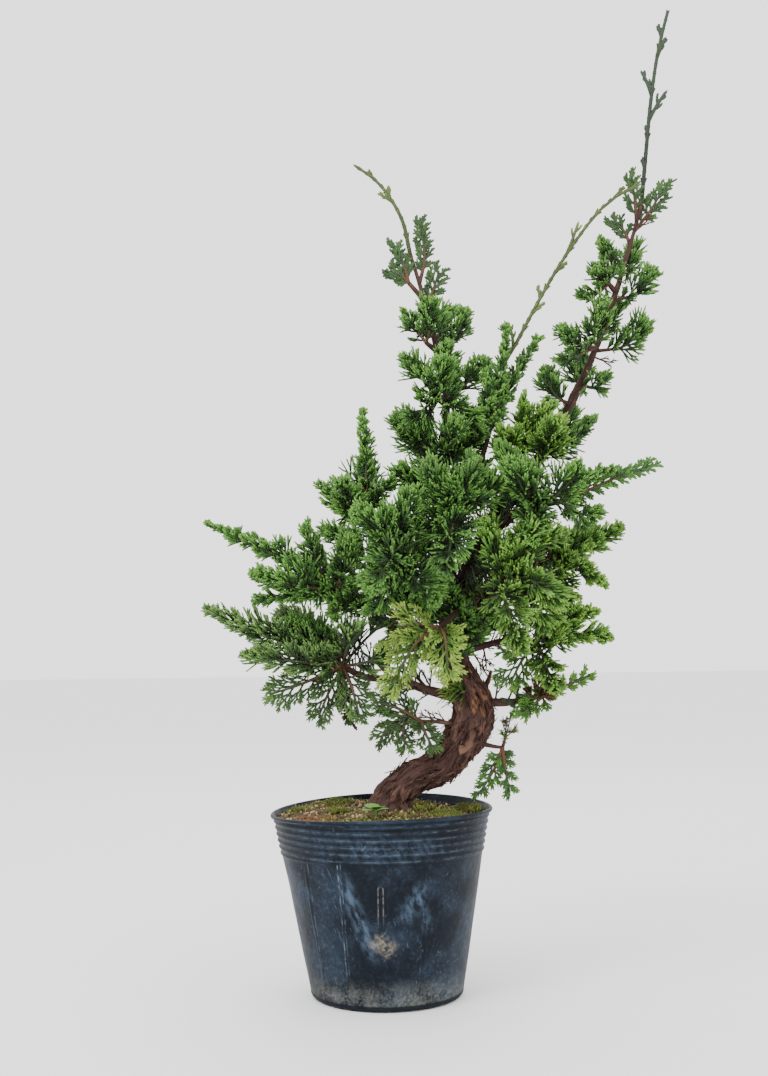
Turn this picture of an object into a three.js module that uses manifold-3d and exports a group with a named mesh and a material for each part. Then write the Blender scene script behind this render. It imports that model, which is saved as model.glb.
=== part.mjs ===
// Itoigawa juniper bonsai in a soft black nursery pot, in millimetres.
// The origin is the middle of the pot's underside. +Z is up, +X is the side that the tree leans to, and +Y is its back.
import * as THREE from "three";
import { mergeVertices } from "three/addons/utils/BufferGeometryUtils.js";
import Module from "manifold-3d";

const wasm = await Module();
wasm.setup();

// Driving dimensions of the pot
const POT_HEIGHT = 100;
const RIM_RADIUS = 60;
const FOOT_RADIUS = 40.8;
const WALL = 1;
const POT_SIDES = 30;
const RIB_COUNT = 6;
const RIB_PITCH = 3.6;
const RIB_DEPTH = 0.7;
const RIM_BAND = 2.4;
const POT_LEAN = -2;
const RIM_TILT = 1.35;
const RIM_BACK_TILT = 0.35;
const RIM_WAVE = 0.8;
const RIM_DROP = 1.1;
const DRAIN_COUNT = 6;
const DRAIN_RADIUS = 4;
const DRAIN_RING = 27;

// Driving dimensions of the soil and what grows on it
const SOIL_LEVEL = 97;
const SOIL_EDGE = 95.8;
const SOIL_RINGS = 4;
const GAP = 0.35;
const SIMPLIFY = 0.01;
const LEADER_TAPER = 1.6;

// Driving dimensions of the foliage
const CORE_SIDES = 3;
const CORE_RING = 5.6;
const BARE_FACES = 3;
const STEM_RADIUS = 1.6;
const STEM_TIP = 1.1;
const RUNNER_JOINT = 18;
const RUNNER_TIP = 0.8;
const NEEDLE_RADIUS = 0.7;
const NEEDLE_SHORT = 4;
const UP = new THREE.Vector3(0, 0, 1);

// The trunk: each point is x, y, z and the radius there
const TRUNK = [
  [0, 0, 84, 9],
  [1, 0, 95, 12.5],
  [4, 0, 104, 9.8],
  [12, -1, 113, 8.4],
  [22, -1, 117.5, 9],
  [31, -1, 121, 8.8],
  [38, -1, 128.5, 9.4],
  [44, 0, 137, 11.2],
  [49, 0, 147, 11],
  [48, 1, 156, 10.6],
  [44, 2, 166, 8.6],
  [40, 3, 177, 6.9],
  [40, 4, 189, 6],
];

// The roots that show at the trunk's foot: where each one ends, and its radius at the trunk
const ROOTS = [
  [-12, -6, 94, 4],
  [14, -13, 94, 3.6],
  [21, -4, 94, 3],
  [-8, 10, 94, 3.4],
  [10, 13, 94, 3],
];

// Leaders and limbs: name, what it leaves, share of that one's length, points, radius at its start and end
const LIMBS = [
  ["leader_right", "trunk", 1, [[45, 7, 211], [49, 9, 229], [59, 11, 251], [71, 12, 268], [86, 13, 286], [99, 13, 308],
    [108, 12, 322], [119, 10, 345], [129, 8, 369], [138, 6, 396], [145, 5, 418], [150, 5, 437]], 5.4, 1.3],
  ["leader_left", "trunk", 1, [[38, 2, 215], [36, 1, 240], [35, 0, 262], [34, 0, 281], [36, -1, 302], [37, -2, 320],
    [35, -3, 336], [32, -3, 352], [27, -4, 369], [23, -5, 387], [18, -5, 404]], 4.8, 1.2],
  ["limb_left_low", "trunk", 0.73, [[25, -3, 162], [8, -7, 168], [-10, -10, 170], [-22, -12, 176]], 3, 1.7],
  ["limb_left_high", "trunk", 0.99, [[20, -3, 197], [-1, -8, 207], [-26, -13, 216]], 2.6, 1.5],
  ["limb_left_apex", "leader_left", 0.12, [[20, -2, 236], [4, -5, 246], [-8, -8, 260]], 2.4, 1.5],
  ["limb_bottom_left", "trunk", 0.62, [[31, -9, 145], [20, -12, 146]], 1.5, 1],
  ["limb_front", "trunk", 0.98, [[41, -14, 203], [38, -27, 203], [30, -38, 196]], 2.2, 1.4],
  ["limb_right_front", "leader_right", 0.02, [[51, -18, 205], [65, -34, 219]], 2.4, 1.4],
  ["limb_right_mid", "leader_right", 0.25, [[82, 0, 262], [98, -8, 264]], 2.2, 1.4],
  ["limb_right_wide", "leader_right", 0.08, [[72, 2, 224], [94, 0, 234]], 2.2, 1.4],
  ["limb_right_low", "trunk", 0.94, [[64, -1, 188], [84, -4, 188]], 2.2, 1.4],
  ["limb_right_stub", "trunk", 0.73, [[66, -3, 155], [80, -5, 157], [90, -6, 161]], 2.8, 1.2],
  ["limb_right_bottom", "trunk", 0.56, [[57, -6, 132], [64, -8, 131]], 2, 1],
  ["limb_front_left", "leader_left", 0.08, [[26, -20, 226], [10, -36, 231]], 2.2, 1.4],
  ["limb_front_mid", "leader_left", 0.2, [[38, -20, 250], [38, -34, 256]], 2, 1.4],
  ["limb_front_right", "leader_right", 0.2, [[72, -12, 256], [84, -28, 262]], 2, 1.4],
  ["limb_back_left", "leader_left", 0.05, [[22, 28, 214], [4, 42, 221]], 2.4, 1.4],
  ["limb_back_mid", "leader_left", 0.18, [[35, 26, 246], [32, 42, 254]], 2, 1.4],
  ["limb_back_right", "leader_right", 0.05, [[60, 30, 220], [76, 44, 229]], 2.2, 1.4],
  ["limb_back_low", "trunk", 0.85, [[44, 28, 171], [40, 44, 175]], 2, 1.4],
  ["limb_left_tip", "leader_left", 0.88, [[17, -8, 387]], 1.6, 1.4],
  ["limb_left_upper", "leader_left", 0.74, [[26, -10, 353]], 1.8, 1.4],
  ["limb_left_middle", "leader_left", 0.6, [[31, -11, 322]], 1.8, 1.4],
  ["limb_right_upper", "leader_right", 0.8, [[129, -1, 387]], 1.8, 1.4],
  ["limb_right_middle", "leader_right", 0.68, [[117, 0, 350]], 1.8, 1.4],
  ["limb_right_base", "leader_right", 0.38, [[76, 3, 289]], 2, 1.5],
  ["limb_runner", "leader_left", 0.22, [[50, -8, 272], [60, -12, 303]], 2, 1.4],
];

// Short dead stubs on the trunk: points and radius at the start and end
const STUBS = [
  [[[46, -6, 142], [46.5, -12.5, 138.5], [44.5, -15, 132.5], [40.5, -15.5, 131.5]], 2, 1.3],
  [[[50, 0, 158], [57, 6, 165], [60, 9, 172]], 3, 1.4],
];

// Leafy stems: the node they are in, the limb, share of the limb's length, points, and how far their shoots reach
const STEMS = [
  ["runner_left", "leader_left", 1, [[14, -5, 423], [6, -6, 438], [-2, -7, 447], [-12, -8, 454]], 4],
  ["left_tip_a", "limb_left_tip", 1, [[14, -8, 398], [10, -7, 408]], 8],
  ["left_tip_a", "limb_left_tip", 1, [[13, -9, 391], [8, -9, 393]], 8],
  ["left_tip_b", "leader_left", 0.92, [[26, -3, 403], [24, -3, 422]], 6],
  ["left_tip_c", "leader_left", 0.86, [[30, -2, 383], [34, -2, 395]], 8],
  ["left_upper_a", "limb_left_upper", 1, [[21, -9, 360], [15, -9, 369]], 12],
  ["left_upper_a", "limb_left_upper", 1, [[28, -16, 361], [28, -23, 371]], 12],
  ["left_upper_b", "leader_left", 0.74, [[43, -5, 359], [48, -6, 369]], 12],
  ["left_upper_c", "leader_left", 0.76, [[37, 14, 365], [39, 24, 378]], 12],
  ["left_middle_a", "limb_left_middle", 1, [[24, -12, 332], [15, -11, 342]], 14],
  ["left_middle_a", "limb_left_middle", 1, [[33, -20, 327], [33, -30, 336]], 13],
  ["left_middle_a", "limb_left_middle", 1, [[24, -17, 315], [15, -19, 306]], 13],
  ["left_middle_a", "limb_left_middle", 1, [[40, -17, 315], [51, -19, 308]], 13],
  ["left_middle_b", "leader_left", 0.6, [[49, -5, 332], [57, -6, 342]], 13],
  ["left_middle_c", "leader_left", 0.6, [[39, 20, 333], [42, 32, 348]], 14],
  ["left_lower_a", "leader_left", 0.46, [[21, -9, 299], [10, -12, 308]], 15],
  ["left_lower_b", "leader_left", 0.45, [[51, 6, 305], [63, 8, 316]], 14],
  ["left_lower_c", "leader_left", 0.42, [[39, -22, 293], [40, -36, 304]], 14],
  ["left_lower_d", "leader_left", 0.46, [[26, 22, 300], [18, 36, 313]], 14],
  ["left_base_a", "leader_left", 0.32, [[21, -12, 272], [12, -16, 280]], 14],
  ["left_base_b", "leader_left", 0.33, [[47, 16, 276], [59, 22, 288]], 15],
  ["runner_right", "leader_right", 1, [[153, 5, 464], [156, 4, 491], [160, 3, 517], [163, 3, 530], [167, 2, 545]], 4],
  ["right_tip_a", "leader_right", 0.95, [[145, 1, 438], [143, 0, 447]], 6],
  ["right_tip_b", "leader_right", 0.93, [[155, 4, 431], [162, 3, 443]], 8],
  ["right_tip_c", "leader_right", 0.9, [[140, 7, 419], [134, 7, 425]], 7],
  ["right_upper_a", "limb_right_upper", 1, [[131, 0, 399], [126, 0, 410]], 11],
  ["right_upper_a", "limb_right_upper", 1, [[125, -8, 387], [121, -16, 389]], 11],
  ["right_upper_a", "limb_right_upper", 1, [[122, -3, 381], [114, -5, 379]], 10],
  ["right_upper_b", "leader_right", 0.78, [[146, 4, 383], [154, 2, 393]], 11],
  ["right_upper_c", "leader_right", 0.83, [[144, 18, 402], [149, 25, 415]], 10],
  ["right_middle_a", "limb_right_middle", 1, [[110, 0, 354], [103, 1, 361]], 13],
  ["right_middle_a", "limb_right_middle", 1, [[120, -9, 358], [122, -18, 368]], 12],
  ["right_middle_a", "limb_right_middle", 1, [[109, -5, 345], [100, -7, 342]], 12],
  ["right_middle_b", "leader_right", 0.67, [[138, 5, 353], [148, 2, 364]], 13],
  ["right_middle_c", "leader_right", 0.71, [[131, 18, 366], [139, 26, 380]], 12],
  ["right_lower_a", "leader_right", 0.6, [[119, 3, 329], [125, 1, 333]], 9],
  ["right_lower_b", "leader_right", 0.55, [[98, 2, 325], [93, -3, 335]], 12],
  ["right_lower_c", "leader_right", 0.6, [[114, 22, 335], [118, 32, 350]], 13],
  ["right_base_a", "leader_right", 0.47, [[108, 4, 301], [118, 0, 310]], 11],
  ["right_base_b", "limb_right_base", 1, [[79, -4, 304], [79, -12, 320]], 13],
  ["right_base_b", "limb_right_base", 1, [[71, -5, 293], [69, -14, 299]], 13],
  ["right_base_b", "limb_right_base", 1, [[85, -3, 303], [93, -10, 315]], 12],
  ["right_base_c", "leader_right", 0.4, [[91, -18, 294], [95, -32, 304]], 14],
  ["right_base_d", "leader_right", 0.42, [[104, 28, 303], [113, 42, 321]], 14],
  ["runner_middle", "limb_runner", 1, [[69, -11, 342], [75, -11, 351], [81, -10, 362], [87, -10, 373], [100, -9, 395],
    [114, -9, 415], [122, -8, 425], [132, -8, 434], [146, -8, 441]], 4],
  ["runner_middle", "limb_runner", 1, [[66, -15, 332], [70, -17, 358]], 7],
  ["runner_middle", "limb_runner", 1, [[59, -13, 320], [59, -14, 338]], 8],
  ["runner_middle", "limb_runner", 1, [[75, -9, 334], [87, -7, 353]], 7],
  ["left_apex", "limb_left_apex", 1, [[-8, -9, 284], [-10, -9, 313]], 10],
  ["left_apex", "limb_left_apex", 1, [[-20, -10, 262], [-30, -10, 271]], 14],
  ["left_apex", "limb_left_apex", 1, [[-3, -16, 266], [6, -18, 275]], 10],
  ["left_apex", "limb_left_apex", 1, [[-16, -24, 261], [-21, -36, 271]], 14],
  ["left_apex", "limb_left_apex", 1, [[-9, 12, 271], [-9, 28, 291]], 15],
  ["left_high", "limb_left_high", 1, [[-41, -17, 229], [-66, -20, 240], [-91, -20, 252]], 10],
  ["left_high", "limb_left_high", 1, [[-46, -25, 220], [-67, -30, 224]], 13],
  ["left_high", "limb_left_high", 1, [[-35, -20, 232], [-40, -24, 251]], 15],
  ["left_high", "limb_left_high", 1, [[-20, -30, 228], [-16, -44, 242]], 14],
  ["left_low", "limb_left_low", 1, [[-45, -15, 186], [-65, -17, 194], [-93, -18, 206]], 15],
  ["left_low", "limb_left_low", 1, [[-44, -22, 167], [-60, -25, 162]], 13],
  ["left_low", "limb_left_low", 1, [[-30, -17, 161], [-35, -18, 149]], 11],
  ["left_low", "limb_left_low", 1, [[-37, 6, 190], [-57, 22, 206]], 15],
  ["left_low", "limb_left_low", 1, [[-19, -26, 186], [-11, -36, 196]], 12],
  ["left_low", "limb_left_low", 1, [[-11, -4, 189], [-1, 4, 198]], 13],
  ["left_low", "limb_left_low", 1, [[-10, -23, 178], [3, -27, 183]], 12],
  ["left_low", "limb_left_low", 1, [[-17, -20, 165], [-13, -24, 150]], 11],
  ["left_low", "limb_left_low", 1, [[-45, -27, 179], [-71, -31, 182]], 13],
  ["bottom_left", "limb_bottom_left", 1, [[9, -13, 148], [-2, -15, 137]], 9],
  ["bottom_left", "limb_bottom_left", 1, [[11, -14, 145], [11, -15, 132]], 8],
  ["bottom_left", "limb_bottom_left", 1, [[8, -16, 153], [-4, -20, 157]], 9],
  ["bottom_left", "limb_bottom_left", 1, [[22, -17, 140], [26, -19, 132]], 7],
  ["front_hanging", "limb_front", 1, [[17, -48, 188], [3, -55, 165]], 12],
  ["front_hanging", "limb_front", 1, [[14, -48, 198], [-2, -54, 189]], 11],
  ["front_hanging", "limb_front", 1, [[32, -50, 190], [33, -57, 171]], 11],
  ["right_front", "limb_right_front", 1, [[75, -42, 238], [93, -46, 243]], 14],
  ["right_front", "limb_right_front", 1, [[75, -44, 221], [91, -50, 208]], 14],
  ["right_front", "limb_right_front", 1, [[64, -46, 210], [70, -56, 184]], 14],
  ["right_front", "limb_right_front", 1, [[60, -40, 233], [55, -42, 249]], 14],
  ["right_front", "limb_right_front", 1, [[78, -38, 210], [85, -36, 195]], 13],
  ["right_tips", "limb_right_mid", 1, [[113, -10, 270], [127, -12, 276], [147, -14, 283]], 6],
  ["right_tips", "limb_right_mid", 1, [[111, -14, 275], [126, -17, 280]], 7],
  ["right_tips", "limb_right_mid", 1, [[111, -8, 257], [120, -8, 257]], 12],
  ["right_wide", "limb_right_wide", 1, [[112, -2, 240], [131, -3, 248]], 12],
  ["right_wide", "limb_right_wide", 1, [[105, -14, 227], [117, -20, 219]], 13],
  ["right_wide", "limb_right_wide", 1, [[110, 16, 240], [125, 28, 243]], 13],
  ["right_wide", "limb_right_wide", 1, [[96, -9, 221], [100, -14, 206]], 13],
  ["right_low", "limb_right_low", 1, [[103, -5, 192], [122, -6, 188]], 11],
  ["right_low", "limb_right_low", 1, [[100, -12, 200], [113, -20, 203]], 12],
  ["right_low", "limb_right_low", 1, [[87, -16, 178], [90, -24, 162]], 12],
  ["right_low", "limb_right_low", 1, [[75, -13, 178], [68, -19, 166]], 12],
  ["right_stub", "limb_right_stub", 1, [[100, -7, 164], [111, -8, 169]], 5],
  ["right_stub", "limb_right_stub", 1, [[84, -14, 157], [74, -18, 149]], 8],
  ["right_bottom", "limb_right_bottom", 1, [[60, -9, 121], [51, -11, 107]], 6],
  ["right_bottom", "limb_right_bottom", 1, [[65, -11, 120], [67, -12, 108]], 5],
  ["right_bottom", "limb_right_bottom", 1, [[67, -9, 141], [69, -8, 150]], 5],
  ["front_left", "limb_front_left", 1, [[1, -46, 245], [-12, -54, 254]], 14],
  ["front_left", "limb_front_left", 1, [[5, -50, 231], [-5, -58, 217]], 14],
  ["front_left", "limb_front_left", 1, [[11, -46, 250], [15, -54, 264]], 13],
  ["front_left", "limb_front_left", 1, [[18, -42, 221], [26, -46, 211]], 14],
  ["front_left", "limb_front_left", 1, [[3, -37, 218], [-4, -35, 204]], 14],
  ["front_middle", "limb_front_mid", 1, [[32, -46, 264], [25, -54, 277]], 14],
  ["front_middle", "limb_front_mid", 1, [[42, -46, 266], [49, -54, 279]], 14],
  ["front_middle", "limb_front_mid", 1, [[36, -48, 243], [33, -58, 224]], 14],
  ["front_middle", "limb_front_mid", 1, [[50, -39, 262], [62, -42, 271]], 14],
  ["front_middle", "limb_front_mid", 1, [[27, -41, 250], [14, -42, 245]], 14],
  ["front_right", "limb_front_right", 1, [[95, -36, 267], [104, -44, 277]], 14],
  ["front_right", "limb_front_right", 1, [[75, -42, 267], [68, -52, 279]], 14],
  ["front_right", "limb_front_right", 1, [[80, -42, 250], [78, -54, 240]], 12],
  ["front_right", "limb_front_right", 1, [[73, -30, 276], [64, -27, 291]], 14],
  ["back_left", "limb_back_left", 1, [[-15, 52, 244], [-33, 60, 254]], 15],
  ["back_left", "limb_back_left", 1, [[4, 58, 247], [6, 68, 267]], 15],
  ["back_left", "limb_back_left", 1, [[-12, 50, 220], [-28, 56, 211]], 15],
  ["back_middle", "limb_back_mid", 1, [[30, 54, 282], [26, 64, 304]], 15],
  ["back_middle", "limb_back_mid", 1, [[47, 52, 272], [62, 60, 284]], 15],
  ["back_right", "limb_back_right", 1, [[106, 52, 241], [126, 60, 252]], 15],
  ["back_right", "limb_back_right", 1, [[98, 54, 218], [106, 62, 200]], 14],
  ["back_right", "limb_back_right", 1, [[89, 58, 246], [93, 66, 265]], 14],
  ["back_low", "limb_back_low", 1, [[22, 58, 186], [4, 70, 197]], 14],
  ["back_low", "limb_back_low", 1, [[54, 58, 191], [74, 68, 201]], 14],
];

// What grows on the soil: name, middle x and y, half widths, height
const MOSS_CUSHIONS = [
  ["moss_right", 34, -18, 10, 8, 3],
  ["moss_left", -25, 20, 9, 7, 3],
  ["moss_edge", 46, 8, 6, 5, 4],
];
const WEED = { name: "weed", x: -5, y: -27, leaves: 4, leafLength: 8, leafWidth: 7, stemHeight: 4.5 };

const vectors = (points) => points.map(([x, y, z]) => new THREE.Vector3(x, y, z));
const curveThrough = (points) => new THREE.CatmullRomCurve3(points, false, "catmullrom", 0.5);

// The pot is soft: higher up it leans and is not quite round, and its rim is tilted and dips at both sides.
function soften(x, y, z) {
  const up = THREE.MathUtils.clamp(z / POT_HEIGHT, 0, 1.1);
  const angle = Math.atan2(y, x);
  const bulge = 1 + up * up * (0.008 * Math.cos(2 * angle + 0.6) + 0.004 * Math.cos(3 * angle + 2));
  const [across, deep] = [x / RIM_RADIUS, y / RIM_RADIUS];
  const wave = RIM_WAVE * (across * across - deep * deep);
  const rise = RIM_TILT * across + RIM_BACK_TILT * deep - wave - RIM_DROP;
  return [x * bulge + POT_LEAN * up, y * bulge, z + rise * up * up];
}

function softened(geometry) {
  const at = geometry.getAttribute("position");
  for (let i = 0; i < at.count; i++) at.setXYZ(i, ...soften(at.getX(i), at.getY(i), at.getZ(i)));
  return geometry;
}

function solidOf(geometry) {
  const bare = geometry.clone();
  bare.deleteAttribute("normal");
  bare.deleteAttribute("uv");
  const merged = mergeVertices(bare, 1e-4);
  return new wasm.Manifold(
    new wasm.Mesh({
      numProp: 3,
      vertProperties: new Float32Array(merged.attributes.position.array),
      triVerts: new Uint32Array(merged.index.array),
    }),
  );
}

function largestBody(solid) {
  const bodies = solid.decompose();
  return bodies.reduce((best, body) => (body.volume() > best.volume() ? body : best));
}

// Pieces grown together, without the splinters that their crossings leave.
const fused = (pieces) => wasm.Manifold.union(pieces).asOriginal().simplify(SIMPLIFY);

function meshOf(name, solid, material) {
  const { vertProperties, triVerts } = solid.getMesh();
  const geometry = new THREE.BufferGeometry();
  geometry.setAttribute("position", new THREE.BufferAttribute(vertProperties, 3));
  geometry.setIndex(new THREE.BufferAttribute(triVerts, 1));
  geometry.computeVertexNormals();
  const mesh = new THREE.Mesh(geometry, material);
  mesh.name = name;
  return mesh;
}

// A round bar along a curve. radiusAt gives the radius at each share of its length, and grow widens and lengthens it.
function tube(curve, radiusAt, sides, steps, grow = 0) {
  const bar = new THREE.CylinderGeometry(1, 1, 1, sides, steps);
  const frames = curve.computeFrenetFrames(steps, false);
  const at = bar.getAttribute("position");
  for (let i = 0; i < at.count; i++) {
    const ring = Math.round((at.getY(i) + 0.5) * steps);
    const point = curve.getPointAt(Math.min(1, ring / steps));
    const across = Math.hypot(at.getX(i), at.getZ(i));
    if (across > 1e-6) {
      const radius = (radiusAt(ring / steps) + grow) / across;
      point.addScaledVector(frames.normals[ring], at.getX(i) * radius);
      point.addScaledVector(frames.binormals[ring], -at.getZ(i) * radius);
    }
    if (ring === 0) point.addScaledVector(frames.tangents[0], -grow);
    if (ring === steps) point.addScaledVector(frames.tangents[steps], grow);
    at.setXYZ(i, point.x, point.y, point.z);
  }
  return solidOf(bar);
}

// The part of a curve between two shares of its length, through a few of its own points.
function stretch(curve, from, to, pieces) {
  const points = [];
  for (let i = 0; i <= pieces; i++) points.push(curve.getPointAt(Math.min(1, from + ((to - from) * i) / pieces)));
  return curveThrough(points);
}

// Wood: curves by name, each with the radius at every share of its length.
const wood = new Map();

function addTrunk() {
  const curve = curveThrough(vectors(TRUNK));
  const radiusAt = (share) => {
    const place = curve.getUtoTmapping(share) * (TRUNK.length - 1);
    const low = Math.min(TRUNK.length - 2, Math.floor(place));
    return THREE.MathUtils.lerp(TRUNK[low][3], TRUNK[low + 1][3], place - low);
  };
  wood.set("trunk", { curve, radiusAt, sides: 10, steps: 15 });
}

function addLimbs() {
  for (const [name, parent, share, points, thick, thin] of LIMBS) {
    const start = wood.get(parent).curve.getPointAt(share);
    const curve = curveThrough([start, ...vectors(points)]);
    const isLeader = name.startsWith("leader");
    const radiusAt = (s) => thin + (thick - thin) * Math.pow(1 - s, isLeader ? LEADER_TAPER : 1);
    wood.set(name, { curve, radiusAt, sides: isLeader ? 6 : 4, steps: isLeader ? 13 : points.length + 1 });
  }
}

function addStubs() {
  STUBS.forEach(([points, thick, thin], i) =>
    wood.set("stub_" + i, {
      curve: curveThrough(vectors(points)),
      radiusAt: (s) => THREE.MathUtils.lerp(thick, thin, s),
      sides: 5,
      steps: 3,
    }),
  );
}

function addRoots() {
  const foot = new THREE.Vector3(...TRUNK[2].slice(0, 3));
  ROOTS.forEach(([x, y, z, thick], i) => {
    const end = new THREE.Vector3(x, y, z);
    const knee = foot.clone().lerp(end, 0.5).add(new THREE.Vector3(0, 0, 1.5));
    wood.set("root_" + i, {
      curve: curveThrough([foot, knee, end]),
      radiusAt: (s) => THREE.MathUtils.lerp(thick, 1.4, s),
      sides: 4,
      steps: 2,
    });
  });
}

// A leafy stem leaves a leader by a bare brown twig; one at a limb's end is green from there on.
const stems = STEMS.map(([node, limb, share, points, reach]) => ({ node, limb, share, points: vectors(points), reach }));

function addTwigs() {
  for (const stem of stems) {
    const parent = wood.get(stem.limb);
    const start = parent.curve.getPointAt(stem.share);
    if (stem.share === 1) {
      const onward = parent.curve.getTangentAt(1);
      start.addScaledVector(onward, GAP + 0.6);
    }
    stem.curve = curveThrough([start, ...stem.points]);
    stem.length = stem.curve.getLength();
    stem.from = 0;
    if (stem.share < 1) {
      const bare = Math.max(parent.radiusAt(stem.share) + 2.5, stem.length * 0.2);
      stem.from = (bare + GAP) / stem.length;
      const curve = stretch(stem.curve, 0, bare / stem.length, 2);
      wood.set("twig_" + stems.indexOf(stem), {
        curve,
        radiusAt: (s) => THREE.MathUtils.lerp(1.6, STEM_RADIUS, s),
        sides: 3,
        steps: 1,
      });
    }
  }
}

// Capsules stand for wood and leafy stems when a shoot looks for a clear way out.
const capsules = [];

function addCapsules(node, curve, radiusAt, pieces, from = 0) {
  for (let i = 0; i < pieces; i++) {
    const a = from + ((1 - from) * i) / pieces;
    const b = from + ((1 - from) * (i + 1)) / pieces;
    const radius = Math.max(radiusAt(a), radiusAt(b));
    capsules.push({ node, a: curve.getPointAt(a), b: curve.getPointAt(b), radius });
  }
}

// The least distance between two straight pieces, by sliding along each in turn.
function distance(a, b, c, d) {
  const u = b.clone().sub(a);
  const v = d.clone().sub(c);
  let t = 0.5;
  let s = 0.5;
  const p = new THREE.Vector3();
  const q = new THREE.Vector3();
  for (let i = 0; i < 12; i++) {
    q.copy(c).addScaledVector(v, t);
    s = THREE.MathUtils.clamp(q.clone().sub(a).dot(u) / (u.lengthSq() || 1), 0, 1);
    p.copy(a).addScaledVector(u, s);
    t = THREE.MathUtils.clamp(p.clone().sub(c).dot(v) / (v.lengthSq() || 1), 0, 1);
  }
  q.copy(c).addScaledVector(v, t);
  return p.distanceTo(q);
}

// The room left beside a straight piece of a node. Of its own node, only the other needles count, and a little less.
function roomAround(node, a, b) {
  let room = Infinity;
  for (const capsule of capsules) {
    const own = capsule.node === node;
    if (own && !capsule.isNeedle) continue;
    const away = distance(a, b, capsule.a, capsule.b) - capsule.radius;
    room = Math.min(room, own ? away + GAP : away);
  }
  return room;
}

// How far the needles reach at each share of a leafy stem: quickly out, then narrowing to the tip.
const profile = (s) => Math.pow(Math.min(1, (s + 0.06) / 0.3), 0.5) * Math.pow(Math.max(0, 1 - s * s * s), 0.5);

// Seeded draws, so that every build places the same needles.
let seed = 20459;
function draw(low, high) {
  seed = (Math.imul(seed, 1664525) + 1013904223) >>> 0;
  return low + ((high - low) * seed) / 4294967296;
}

// Where the rings of a stem's core stand. A runner has them in close pairs, one at each of its joints.
function ringShares(length, isRunner) {
  const count = Math.max(2, Math.round(length / (isRunner ? RUNNER_JOINT : CORE_RING)));
  const shares = [];
  for (let i = 0; i < count; i++) {
    const share = i / count;
    if (isRunner) shares.push(share + (0.5 * RUNNER_JOINT) / length);
    shares.push(share + (isRunner ? (0.5 * RUNNER_JOINT + CORE_RING) / length : 0));
  }
  return [...new Set([0, ...shares])].filter((share) => (1 - share) * length > 0.7 * CORE_RING);
}

// A stem's slim core: rings of three points, each turned by half a step from the last, and a point at the tip.
function coreOf(stem) {
  const curve = stretch(stem.curve, stem.from, 1, 3);
  const isRunner = stem.reach < 5;
  const shares = ringShares(curve.getLength(), isRunner);
  const frames = curve.computeFrenetFrames(200, false);
  const rings = shares.map((share, i) => {
    const middle = curve.getPointAt(share);
    const radius = THREE.MathUtils.lerp(STEM_RADIUS, isRunner ? RUNNER_TIP : STEM_TIP, share);
    const at = Math.round(share * 200);
    const points = [];
    for (let k = 0; k < CORE_SIDES; k++) {
      const around = ((k + i / 2) * 2 * Math.PI) / CORE_SIDES;
      const point = middle.clone().addScaledVector(frames.normals[at], radius * Math.cos(around));
      points.push(point.addScaledVector(frames.binormals[at], radius * Math.sin(around)));
    }
    return { share, middle, radius, onward: curve.getTangentAt(share), points };
  });
  return { curve, rings, tip: curve.getPointAt(1), isRunner };
}

// The tip of the three-sided needle that a face of the core is drawn out to, or null where there is no room for one.
function needleTip(stem, face, share, onward) {
  const middle = face[0].clone().add(face[1]).add(face[2]).divideScalar(3);
  const out = face[1].clone().sub(face[0]).cross(face[2].clone().sub(face[0])).normalize();
  const reach = Math.max(NEEDLE_SHORT, stem.reach * profile(share));
  for (const tries of [0, 1, 2, 3]) {
    const lean = THREE.MathUtils.lerp(1.15, 0.5, share) * (1 - 0.15 * tries);
    const way = out.clone().multiplyScalar(Math.sin(lean)).addScaledVector(onward, Math.cos(lean));
    way.addScaledVector(UP, 0.2).add(new THREE.Vector3(draw(-0.2, 0.2), draw(-0.2, 0.2), draw(-0.2, 0.2)));
    way.normalize();
    if (way.dot(out) < 0.3) continue;
    const tip = middle.clone().addScaledVector(way, reach * draw(1, 1.35) * (1 - 0.15 * tries));
    if (roomAround(stem.node, middle, tip) < NEEDLE_RADIUS + GAP) continue;
    capsules.push({ node: stem.node, a: middle, b: tip, radius: NEEDLE_RADIUS, isNeedle: true });
    return tip;
  }
  return null;
}

// A leafy stem: its core, with needles drawn out of most of its faces.
function leafyStem(stem, core) {
  const triangles = [];
  const addFace = (face, share, onward) => {
    const tip = onward && needleTip(stem, face, share, onward);
    if (tip) face.forEach((point, i) => triangles.push([point, face[(i + 1) % 3], tip]));
    else triangles.push(face);
  };
  const { rings, tip, isRunner } = core;
  rings.forEach((ring, i) => {
    const next = rings[i + 1];
    for (let k = 0; k < CORE_SIDES; k++) {
      const [a, b] = [ring.points[k], ring.points[(k + 1) % CORE_SIDES]];
      if (!next) {
        addFace([a, b, tip], (1 + ring.share) / 2, ring.onward);
        continue;
      }
      const [c, d] = [next.points[(k + CORE_SIDES - 1) % CORE_SIDES], next.points[k]];
      const isBare = isRunner ? i % 2 === 0 || k !== (i >> 1) % CORE_SIDES : (i + k) % BARE_FACES === 0;
      addFace([a, b, d], ring.share, isBare ? null : ring.onward);
      addFace([a, d, c], next.share, isBare || isRunner ? null : next.onward);
    }
  });
  triangles.push([rings[0].points[0], rings[0].points[2], rings[0].points[1]]);
  return solidOf(new THREE.BufferGeometry().setFromPoints(triangles.flat()));
}

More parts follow.
